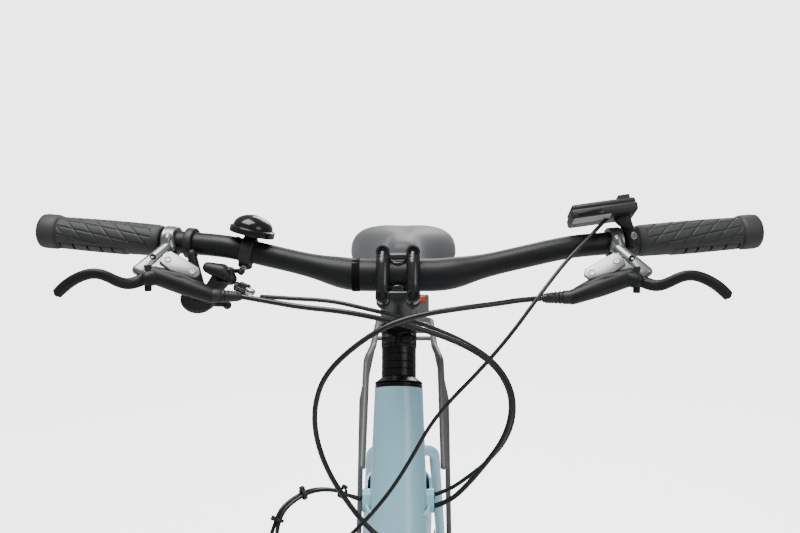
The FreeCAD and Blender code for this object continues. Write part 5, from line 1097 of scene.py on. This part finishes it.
class BIKE_OT_display(bpy.types.Operator):
    """Control display: bevelled case with a glossy window, pale socket cover below, clamp and its bolt"""
    bl_idname = "bike.display"
    bl_label = "Display"

    # Size, middle in millimetres, bevel, its segments and finish of each box
    boxes = (((0.064, 0.042, 0.0094), (0, 0, -2.8), 0.0030, 4, 0),
             ((0.0618, 0.0398, 0.0060), (0, 0, 3.4), 0.0026, 3, 0),
             ((0.0400, 0.0330, 0.0014), (-9.4, 0, 6.4), 0.0006, 2, 1),
             ((0.0360, 0.0200, 0.0012), (-12, -9, -7.2), 0.0005, 2, 2),
             ((0.0240, 0.0012, 0.0040), (-14, -20.6, -4), 0.0005, 2, 1))
    screws = (mm(-26, 14, -7.4), mm(26, 14, -7.4))
    case_place = mm(-28, -4, 29)
    case_roll = math.radians(-8)
    case_tip = math.radians(-18)

    def execute(self, context):
        bm = bmesh.new()
        for size, place, bevel, segments, skin in self.boxes:
            rounded_box(bm, size, mm(*place), bevel, segments, skin)
        for screw in self.screws:
            lathe(bm, [(0, 0), (0, 0.0020), (0.0008, 0.0016), (0.0008, 0)], screw, -Z, steps=16, skin=3)
        turn = Matrix.Rotation(self.case_roll, 4, "Y") @ Matrix.Rotation(self.case_tip, 4, "X")
        moved(bm, bm.faces, Matrix.Translation(DISPLAY + self.case_place) @ turn)
        band(bm, DISPLAY, BAR_WAY, (-0.006, 0.006), clamp_bore(), 0.0151, (0.0008, 0.0006))
        hull(bm, DISPLAY, ((0, -3, 13, 4.5), (-11, -4, 22, 4.6), (-4, -4, 24, 4.4)))
        hull(bm, DISPLAY, ((1, -13, 6, 4.8), (1, -14, -3, 4.4)))
        bolt(bm, DISPLAY + mm(1, -17, 7), -Y, 0.0032, 0.0026, skin=3)
        show("display_case", bm, "steering",
             [moulded_plastic(), gloss_black(), pale_plastic(), steel()], ["display_unit"], sharp=35)
        return {"FINISHED"}


class BIKE_OT_saddle(bpy.types.Operator):
    """Saddle pad: a smooth crowned form with a shallow channel and a rolled lower edge"""
    bl_idname = "bike.saddle"
    bl_label = "Saddle"

    # Distance along the bike, half width and height of each section
    stations = ((0.1412, 0.0130, 0.0150), (0.1480, 0.0196, 0.0236), (0.163, 0.0250, 0.0285),
                (0.186, 0.0270, 0.0315), (0.209, 0.0270, 0.0317), (0.231, 0.0290, 0.0320),
                (0.254, 0.0350, 0.0327), (0.277, 0.0452, 0.0333), (0.299, 0.0575, 0.0336),
                (0.322, 0.0710, 0.0345), (0.345, 0.0815, 0.0360), (0.367, 0.0878, 0.0372),
                (0.390, 0.0810, 0.0340), (0.404, 0.0640, 0.0275), (0.4116, 0.0440, 0.0190))
    around = 24
    roundness = 0.62
    base = 1.0052
    skirt = 0.019
    low = base - skirt
    spread = 1.04
    rim_share = 0.9
    roll_share = 0.955
    roll_radius = 0.0016
    roll_lift = 0.0004
    channel_depth = 0.0042
    channel_half = 0.011
    channel_middle = 0.300
    channel_reach = 0.075

    def execute(self, context):
        bm = bmesh.new()
        rings = [self.section(bm, *station) for station in self.stations]
        count = len(rings[0])
        for front, back in zip(rings, rings[1:]):
            for k in range(count):
                follow = (k + 1) % count
                bm.faces.new((front[k], front[follow], back[follow], back[k]))
        bm.faces.new(rings[0])
        bm.faces.new(list(reversed(rings[-1])))
        pad = show("saddle_cover", bm, "seat", [saddle_cover()], ["saddle_pad"], sharp=80)
        smooth = pad.modifiers.new("Smooth Form", "SUBSURF")
        smooth.levels = 2
        smooth.render_levels = 2
        self.trim()
        return {"FINISHED"}

    def section(self, bm, y, half, height):
        """Ring of one section: the crowned top, then the hollow below, which is shut at nose and tail."""
        ring = []
        for k in range(self.around + 1):
            angle = math.pi * k / self.around
            out = math.copysign(abs(math.cos(angle)) ** self.roundness, math.cos(angle))
            rise = math.sin(angle) ** self.roundness
            x = half * out * self.spread
            ring.append(bm.verts.new((x, y, self.low + (height + self.skirt) * rise - self.channel(x, y))))
        inner = half * self.spread * self.rim_share
        ceiling = self.low + 0.001 if y in (self.stations[0][0], self.stations[-1][0]) else self.base
        under = ((-inner, self.low), (-inner, ceiling), (inner, ceiling), (inner, self.low))
        return ring + [bm.verts.new((x, y, z)) for x, z in under]

    def channel(self, x, y):
        """Depth of the hollow along the middle of the seat."""
        across = math.exp(-(x / self.channel_half) ** 2)
        along = math.exp(-((y - self.channel_middle) / self.channel_reach) ** 2)
        return self.channel_depth * across * along

    def trim(self):
        """Rolled edge below the cover."""
        bm = bmesh.new()
        edge = []
        for y, half, height in self.stations:
            edge.append(Vector((half * self.spread * self.roll_share, y, self.low + self.roll_lift)))
        loop = edge + [MIRROR @ point for point in reversed(edge)]
        swept(bm, loop + loop[:1], self.roll_radius)
        show("saddle_edge_roll", bm, "seat", [moulded_plastic()], sharp=60)


class BIKE_OT_ports(bpy.types.Operator):
    """Dark plugs with slots where the cords enter the head tube"""
    bl_idname = "bike.ports"
    bl_label = "Cable Ports"

    port = Vector((0.0361, -0.3288, 0.8028))
    flatness = 0.28

    def execute(self, context):
        for name, at in (("left", self.port), ("right", MIRROR @ self.port)):
            bm = bmesh.new()
            for up in (-5.5, 5.5):
                hull(bm, at, [(*(STEER * (up + way)), 4.2) for way in (-1.2, 1.2)])
            bmesh.ops.scale(bm, vec=(self.flatness, 1, 1), verts=bm.verts, space=Matrix.Translation(-at))
            show("port_plug_" + name, bm, "frame", [moulded_plastic()], sharp=45)
        return {"FINISHED"}


# Wheels

REAR_AXLE = joint_at("rear_wheel_spin")
WHEELS = (("front", joint_at("front_wheel_spin")), ("rear", REAR_AXLE))


def ring_of(bm, faces, at, count):
    """Repeat faces evenly round an axle that runs across the bike."""
    geom = list({item for face in faces for item in (face, *face.edges, *face.verts)})
    bmesh.ops.spin(bm, geom=geom, cent=at, axis=X, angle=math.tau * (count - 1) / count, steps=count - 1,
                   use_duplicate=True)


class BIKE_OT_tyres(bpy.types.Operator):
    """Tyres with rounded shoulders, side ribs and a block tread"""
    bl_idname = "bike.tyres"
    bl_label = "Tyres"

    sides = 40
    side_angle = 128
    carcass = 0.985
    rib = 0.012
    rib_angle = 1.25
    rib_spread = 0.06
    bead_share = 0.55
    bead_gap = 0.003
    tread_blocks = 96
    tread_sunk = 0.0004
    block_turn = math.radians(14)
    block_bevel = 0.0004
    # Angle from the middle, share of a step and size of each row's blocks
    rows = ((0.17, 0.0, (0.0062, 0.0145)), (-0.17, 0.5, (0.0062, 0.0145)),
            (0.58, 0.5, (0.0068, 0.0110)), (-0.58, 0.0, (0.0068, 0.0110)))

    def execute(self, context):
        for name, axle in WHEELS:
            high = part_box(name + "_tyre")[1]
            half = high[0]
            depth = sizes().tread_depth
            crown = high[2] - axle.z - depth
            bead = crown - half * 2 + self.bead_gap
            profile = []
            for k in range(self.sides + 1):
                turn = math.radians(self.side_angle * (2 * k / self.sides - 1))
                swell = 1 + self.rib * math.exp(-((abs(turn) - self.rib_angle) / self.rib_spread) ** 2)
                radius = half * self.carcass * swell
                profile.append((radius * math.sin(turn), crown - half + radius * math.cos(turn)))
            profile += [(half * self.bead_share, bead), (-half * self.bead_share, bead), profile[0]]
            bm = bmesh.new()
            lathe(bm, profile, axle, X, steps=144)
            self.tread(bm, axle, crown, half, depth)
            show(name + "_tyre_tread", bm, name + "_wheel", [tyre_rubber()],
                 [name + "_tyre"], sharp=40)
        return {"FINISHED"}

    def tread(self, bm, axle, crown, half, depth):
        """Blocks: a pair astride the middle, with a shoulder block on each side set half a step on."""
        reach = half - self.tread_sunk + depth / 2
        for angle, step, (width, length) in self.rows:
            turn = Matrix.Rotation(math.tau * step / self.tread_blocks, 4, "X")
            spot = Vector((reach * math.sin(angle), 0, crown - half + reach * math.cos(angle)))
            skew = Matrix.Rotation(math.copysign(self.block_turn, angle), 4, "Z")
            tilt = Matrix.Rotation(angle, 4, "Y") @ skew
            place = Matrix.Translation(axle) @ turn @ Matrix.Translation(spot) @ tilt
            faces = rounded_box(bm, (width, length, depth), place, self.block_bevel, 1)
            ring_of(bm, faces, axle, self.tread_blocks)


class BIKE_OT_rims(bpy.types.Operator):
    """Spoke nipples and capped valves, set in the rims"""
    bl_idname = "bike.rims"
    bl_label = "Nipples and Valves"

    nipples = 16
    nipple_out = 0.003

    def execute(self, context):
        for name, axle in WHEELS:
            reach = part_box(name + "_spokes")[1][2] - axle.z
            bm = bmesh.new()
            for side in SIDES:
                turn = Matrix.Rotation(math.tau / self.nipples / 4 * (side + 1), 4, "X")
                rim = axle + X * side * self.nipple_out + turn @ Z * reach
                faces = lathe(bm, [(-0.001, 0.0), (-0.001, 0.0027), (0.0012, 0.0026), (0.0022, 0.0019),
                                   (0.0120, 0.0017), (0.0125, 0)], rim, turn @ -Z, steps=6)
                ring_of(bm, faces, axle, self.nipples)
            show(name + "_nipples", bm, name + "_wheel", [silver()], sharp=40)
            bm = bmesh.new()
            lathe(bm, [(-0.002, 0), (-0.002, 0.0042), (0.002, 0.0042), (0.0025, 0.0026), (0.026, 0.0026),
                       (0.0262, 0.0037), (0.037, 0.0035), (0.0385, 0.0026), (0.0385, 0)],
                  axle - Z * (reach - 0.001), Z, steps=20)
            show(name + "_valve", bm, name + "_wheel", [black_anodised()], sharp=40)
        return {"FINISHED"}


# Drive

CHAIN_PITCH = 0.0127
CHAIN_LINE = -0.048
RING_TEETH = 40
COG_TEETH = (11, 13, 15, 17, 19, 22, 26, 30, 36)
CHAIN_COG = 4
COG_PITCH = 0.00435
PULLEY_TEETH = 11


def in_chain_line(point):
    return Vector((CHAIN_LINE, point.y, point.z))


RING_AT = in_chain_line(joint_at("crank_spin"))
COG_AT = in_chain_line(REAR_AXLE)
GUIDE_AT = in_chain_line(joint_at("guide_pulley_spin"))
TENSION_AT = in_chain_line(joint_at("tension_pulley_spin"))


def pitch_radius(teeth):
    return CHAIN_PITCH / (2 * math.sin(math.pi / teeth))


def toothed_ring(bm, at, teeth, inner, thick, phase=0.0, proud=0.0024):
    """Flat ring with one tooth a sector, spun round an axle that runs across the bike."""
    known = set(bm.faces)
    pitch = pitch_radius(teeth)
    root = pitch - 0.0042
    flank = pitch - 0.0036
    tip = pitch + proud
    rows = []
    for share, radius in ((0.0, root), (0.26, flank), (0.42, tip), (0.58, tip), (0.74, flank), (1.0, root)):
        angle = phase + math.tau / teeth * (share - 0.5)
        way = Vector((0, math.cos(angle), math.sin(angle)))
        rows.append((bm.verts.new(at + way * inner), bm.verts.new(at + way * radius)))
    sector = [bm.faces.new((a[0], b[0], b[1], a[1])) for a, b in zip(rows, rows[1:])]
    ring_of(bm, sector, at, teeth)
    verts = list({vert for face in new_faces(bm, known) for vert in face.verts})
    bmesh.ops.remove_doubles(bm, verts=verts, dist=0.00001)
    pushed(bm, new_faces(bm, known), X * thick, keep=True)
    moved(bm, new_faces(bm, known), Matrix.Translation(X * -thick / 2))


def chain_runs(wheels):
    """Arcs and straights of the chain's loop in side view, from each wheel's centre and radius.

    A wheel that the chain passes on its other side has a minus radius.
    """
    normals = []
    for (a, ra), (b, rb) in zip(wheels, wheels[1:] + wheels[:1]):
        lean = (ra - rb) / abs(b - a)
        normals.append((b - a) / abs(b - a) * complex(lean, math.sqrt(1 - lean * lean)))
    runs = []
    for k, (center, radius) in enumerate(wheels):
        arrive, leave = normals[k - 1], normals[k]
        turn = arrive / leave if radius > 0 else leave / arrive
        sweep = math.atan2(turn.imag, turn.real) % math.tau
        runs.append((sweep * abs(radius), center, radius * arrive, -1 / radius))
        after, size = wheels[(k + 1) % len(wheels)]
        straight = after + size * leave - center - radius * leave
        runs.append((abs(straight), center + radius * leave, straight / abs(straight), 0.0))
    return runs


def chain_point(runs, distance):
    """Point at a distance along the runs. A run that bends has the arc's centre as its start."""
    for length, start, way, bend in runs:
        if distance <= length:
            turn = complex(math.cos(distance * bend), math.sin(distance * bend))
            place = start + way * (turn if bend else distance)
            return Vector((CHAIN_LINE, place.real, place.imag))
        distance -= length
    return chain_point(runs, distance)


class BIKE_OT_chain(bpy.types.Operator):
    """Roller chain round the ring, a cog and both pulleys, in three stretches"""
    bl_idname = "bike.chain"
    bl_label = "Chain"

    cage_reach = 0.024
    ring_gap = 0.01
    stand_y = 0.25
    plate_radius = 0.0039
    plate_thick = 0.0008
    plate_waist = 0.5
    plate_steps = 12
    narrow = 0.0010
    wide = 0.0018

    def execute(self, context):
        wheels = [(complex(at.y, at.z), radius) for at, radius in (
            (RING_AT, pitch_radius(RING_TEETH)), (COG_AT, pitch_radius(COG_TEETH[CHAIN_COG])),
            (GUIDE_AT, -pitch_radius(PULLEY_TEETH)), (TENSION_AT, pitch_radius(PULLEY_TEETH)))]
        runs = chain_runs(wheels)
        total = sum(run[0] for run in runs)
        count = 2 * round(total / CHAIN_PITCH / 2)
        pins = [chain_point(runs, total * k / count) for k in range(count)]
        below = COG_AT.z - pitch_radius(COG_TEETH[CHAIN_COG])
        cage_start = TENSION_AT.y - self.cage_reach
        upper, caged, lower = (bmesh.new() for stretch in range(3))
        for k, pin in enumerate(pins):
            stretch = upper
            if pin.z < below and pin.y > cage_start:
                stretch = caged
            elif pin.z < GUIDE_AT.z and cage_start >= pin.y > RING_AT.y + self.ring_gap:
                stretch = lower
            self.link(stretch, pin, pins[(k + 1) % count], self.wide if k % 2 else self.narrow)
        show("chain_links", upper, "frame", [chain_steel()], ["chain"], sharp=40)
        cage = show("chain_cage_links", caged, None, [chain_steel()], sharp=40)
        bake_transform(cage)
        lower_run = show("chain_lower_links", lower, None, [chain_steel()], sharp=40)
        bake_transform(lower_run)
        return {"FINISHED"}

    def link(self, bm, a, b, inside):
        """Two waisted plates and a roller. The plates stand clear of the middle by a distance inside them."""
        way = (b - a).normalized()
        place = Matrix.Translation(a) @ Matrix((X, way, X.cross(way))).transposed().to_4x4()
        for side in SIDES:
            known = set(bm.faces)
            upright = Matrix.Rotation(math.pi / 2, 4, "Y")
            disc = bmesh.ops.create_circle(bm, cap_ends=True, segments=self.plate_steps,
                                           radius=self.plate_radius, matrix=upright)["verts"]
            ahead = [vert for vert in disc if vert.co.y > 0.0001]
            bmesh.ops.translate(bm, vec=Y * (b - a).length, verts=ahead)
            flat = new_faces(bm, known)
            long = [edge for edge in flat[0].edges if edge.calc_length() > CHAIN_PITCH / 2]
            waist = bmesh.ops.subdivide_edges(bm, edges=long, cuts=1)["geom_inner"]
            bmesh.ops.scale(bm, vec=(1, 1, self.plate_waist), verts=points_of(waist))
            pushed(bm, flat, X * side * self.plate_thick, keep=True)
            moved(bm, new_faces(bm, known), place @ Matrix.Translation(X * side * inside))
        lathe(bm, [(-0.0027, 0), (-0.0027, 0.0016), (-0.0010, 0.0016), (-0.0010, 0.0037), (0.0010, 0.0037),
                   (0.0010, 0.0016), (0.0027, 0.0016), (0.0027, 0)], a, X, steps=8)


class BIKE_OT_sprockets(bpy.types.Operator):
    """Toothed chainring edge, cassette and pulleys"""
    bl_idname = "bike.sprockets"
    bl_label = "Sprockets"

    ring_depth = 0.0075
    ring_phase = math.pi / 2 + 0.026
    ring_bolts = 5
    ring_bolt_out = 0.0700
    cog_inner = 0.0175
    cog_thick = 0.0018
    cog_phase = 0.03
    cog_proud = 0.0015

    def execute(self, context):
        bm = bmesh.new()
        toothed_ring(bm, RING_AT, RING_TEETH, pitch_radius(RING_TEETH) - self.ring_depth, 0.0020,
                     self.ring_phase)
        for k in range(self.ring_bolts):
            way = Matrix.Rotation(math.tau * k / self.ring_bolts, 4, "X") @ Z
            bolt(bm, RING_AT + way * self.ring_bolt_out - X * 0.0012, -X, 0.0042, 0.0016)
        show("chainring_teeth", bm, "cranks", [black_anodised()], sharp=30)
        bm = bmesh.new()
        for k, teeth in enumerate(COG_TEETH):
            at = COG_AT + X * (k - CHAIN_COG) * COG_PITCH
            toothed_ring(bm, at, teeth, self.cog_inner, self.cog_thick, self.cog_phase * k, self.cog_proud)
        low, high = (corner[0] - CHAIN_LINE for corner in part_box("cassette"))
        lathe(bm, [(low, 0.0070), (low, 0.0165), (low + 0.0015, 0.0180), (high, 0.0180), (high, 0.0070),
                   (low, 0.0070)], COG_AT, X, steps=48)
        show("cassette_cogs", bm, "cassette", [steel()], ["cassette"], sharp=30)
        for name, at in (("guide_pulley", GUIDE_AT), ("tension_pulley", TENSION_AT)):
            bm = bmesh.new()
            toothed_ring(bm, at, PULLEY_TEETH, 0.0085, 0.0022, proud=0.0008)
            lathe(bm, [(-0.0017, 0.0033), (-0.0017, 0.0078), (-0.0011, 0.0090), (0.0011, 0.0090),
                       (0.0017, 0.0078), (0.0017, 0.0033), (-0.0017, 0.0033)], at, X, steps=32)
            show(name + "_wheel", bm, name, [moulded_plastic()], [name], sharp=30)
        return {"FINISHED"}


# Small fittings

class BIKE_OT_lights(bpy.types.Operator):
    """Front lens in its bezel, rear lens and the red spot on the rack's upright plate"""
    bl_idname = "bike.lights"
    bl_label = "Lights"

    grooves = 10
    groove_place = mm(9, -0.8, 0)
    rear_ribs = 5
    rib_gap = 0.0056
    rack_spot = Vector((0.0385, 0.8065, 0.8560))

    def execute(self, context):
        low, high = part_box("front_light")
        at = Vector((0, low[1], (low[2] + high[2]) / 2))
        bm = bmesh.new()
        lathe(bm, [(-0.006, 0.0150), (-0.006, 0.0178), (0.0006, 0.0182), (0.0014, 0.0176), (0.0014, 0.0158),
                   (0.0004, 0.0150), (-0.006, 0.0150)], at, -Y)
        lathe(bm, [(-0.004, 0.0150), (0.0002, 0.0150), (0.0010, 0.0110), (0.0015, 0.0055), (0.0017, 0)], at,
              -Y, skin=1)
        for k in range(self.grooves):
            turn = Matrix.Rotation(math.tau * k / self.grooves, 4, "Y")
            groove = Matrix.Translation(at) @ turn @ Matrix.Translation(self.groove_place)
            rounded_box(bm, (0.0075, 0.0012, 0.0009), groove, 0.0003, 2, skin=1)
        show("front_light_lens", bm, "steering", [moulded_plastic(), clear_lens()],
             sharp=40)
        low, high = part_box("rear_light")
        at = Vector((0, high[1], (low[2] + high[2]) / 2))
        bm = bmesh.new()
        rounded_box(bm, (0.094, 0.006, 0.032), at, 0.0022)
        for k in range(self.rear_ribs):
            rib = at + Y * 0.0030 + Z * (k - self.rear_ribs // 2) * self.rib_gap
            rounded_box(bm, (0.086, 0.0016, 0.0024), rib, 0.0006, 2)
        show("rear_light_lens", bm, "frame", [red_lens()], sharp=40)
        bm = bmesh.new()
        rounded_box(bm, (0.0120, 0.0036, 0.0125), self.rack_spot, 0.0012)
        show("rack_spot", bm, "frame", [red_lens()], sharp=40)
        return {"FINISHED"}


class BIKE_OT_pedals(bpy.types.Operator):
    """Grip pins and reflectors on the pedals"""
    bl_idname = "bike.pedals"
    bl_label = "Pedals"

    pins = 4
    pin_inset = 0.006
    ribs = 6
    rib_gap = 0.009

    def execute(self, context):
        for side in ("left", "right"):
            low, high = (Vector(corner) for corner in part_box("pedal_" + side))
            center = (low + high) / 2
            half = (high - low) / 2
            bm = bmesh.new()
            for face in SIDES:
                for end in SIDES:
                    for k in range(self.pins):
                        out = half.x * (k - (self.pins - 1) / 2) * 0.5
                        spot = center + Vector((out, end * (half.y - self.pin_inset), face * half.z))
                        lathe(bm, [(-0.001, 0.0019), (0.0014, 0.0019), (0.0020, 0.0013), (0.0020, 0)], spot,
                              Z * face, steps=10)
            for end in SIDES:
                rounded_box(bm, (0.058, 0.0030, 0.0120), center + Y * end * (half.y + 0.0002), 0.0010, 2,
                            skin=1)
                for k in range(self.ribs):
                    out = (k - (self.ribs - 1) / 2) * self.rib_gap
                    rib = center + Vector((out, end * (half.y + 0.0016), 0))
                    rounded_box(bm, (0.0060, 0.0012, 0.0100), rib, 0.0004, 1, skin=1)
            show("pedal_fittings_" + side, bm, "pedal_" + side, [steel(), amber_lens()], sharp=30)
        return {"FINISHED"}


class BIKE_OT_motor(bpy.types.Operator):
    """Left side cover of the motor with its bolts"""
    bl_idname = "bike.motor"
    bl_label = "Motor Cover"

    bolts = 6
    bolt_out = 0.0538

    def execute(self, context):
        axle = joint_at("crank_spin")
        face = Vector((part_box("motor_housing")[1][0], axle.y, axle.z))
        bm = bmesh.new()
        lathe(bm, [(-0.001, 0.0225), (0.0008, 0.0225), (0.0024, 0.0240), (0.0024, 0.0470), (0.0012, 0.0495),
                   (0.0012, 0.0580), (0.0002, 0.0605), (-0.001, 0.0605)], face, X, steps=72)
        for k in range(self.bolts):
            way = Matrix.Rotation(math.tau * (k + 0.5) / self.bolts, 4, "X") @ Y
            bolt(bm, face + way * self.bolt_out + X * 0.0010, X, 0.0032, 0.0018, skin=1)
        show("motor_cover", bm, "frame", [moulded_plastic(), black_anodised()],
             sharp=30)
        return {"FINISHED"}


# The kept nodes and the panel

class BIKE_OT_finishes(bpy.types.Operator):
    """Finishes of the solids that show as they are"""
    bl_idname = "bike.finishes"
    bl_label = "Finishes"

    def execute(self, context):
        looks = {
            frame_paint: ("head_tube", "top_tube", "down_tube", "seat_tube", "chain_stays", "seat_stays",
                          "fork"),
            black_coat: ("seatpost", "crank_arms", "front_rim", "rear_rim", "kickstand_legs"),
            black_anodised: ("front_hub", "rear_hub", "front_caliper", "rear_caliper", "chainring",
                             "derailleur_cage", "derailleur_body", "pedal_left", "pedal_right"),
            moulded_plastic: ("battery", "motor_housing", "saddle_shell", "front_light", "rear_light",
                              "button_up", "button_down"),
            steel: ("front_spokes", "rear_spokes", "saddle_rails"),
            gloss_black: ("bell_striker",),
            rack_paint: ("rack",)}
        for look, nodes in looks.items():
            for node in nodes:
                coat(node, look())
        return {"FINISHED"}


PIECES = [
    BIKE_OT_stage, BIKE_OT_front_hose, BIKE_OT_rear_cables, BIKE_OT_wires, BIKE_OT_finishes,
    BIKE_OT_handlebar, BIKE_OT_stem, BIKE_OT_grips, BIKE_OT_brakes, BIKE_OT_brake_levers, BIKE_OT_shifter,
    BIKE_OT_bell, BIKE_OT_display, BIKE_OT_saddle, BIKE_OT_ports, BIKE_OT_tyres, BIKE_OT_rims,
    BIKE_OT_chain, BIKE_OT_sprockets, BIKE_OT_lights, BIKE_OT_pedals, BIKE_OT_motor]


class BIKE_PT_panel(bpy.types.Panel):
    """Colours, sizes and pieces of the bike"""
    bl_idname = "BIKE_PT_panel"
    bl_label = "Hybrid Bike"
    bl_space_type = "VIEW_3D"
    bl_region_type = "UI"
    bl_category = "Hybrid Bike"

    def draw(self, context):
        for group in (context.scene.bike_colours, context.scene.bike_sizes):
            box = self.layout.box()
            for key in group.bl_rna.properties.keys():
                if key not in ("rna_type", "name"):
                    box.prop(group, key)
        column = self.layout.column()
        for piece in PIECES:
            column.operator(piece.bl_idname)


CLASSES = [BikeColours, BikeSizes, *PIECES, BIKE_PT_panel]


def register():
    for item in CLASSES:
        bpy.utils.register_class(item)
    bpy.types.Scene.bike_colours = bpy.props.PointerProperty(type=BikeColours)
    bpy.types.Scene.bike_sizes = bpy.props.PointerProperty(type=BikeSizes)


def unregister():
    del bpy.types.Scene.bike_sizes
    del bpy.types.Scene.bike_colours
    for item in reversed(CLASSES):
        bpy.utils.unregister_class(item)


def main():
    register()
    for piece in PIECES:
        group, name = piece.bl_idname.split(".")
        getattr(getattr(bpy.ops, group), name)()


if __name__ == "__main__":
    main()
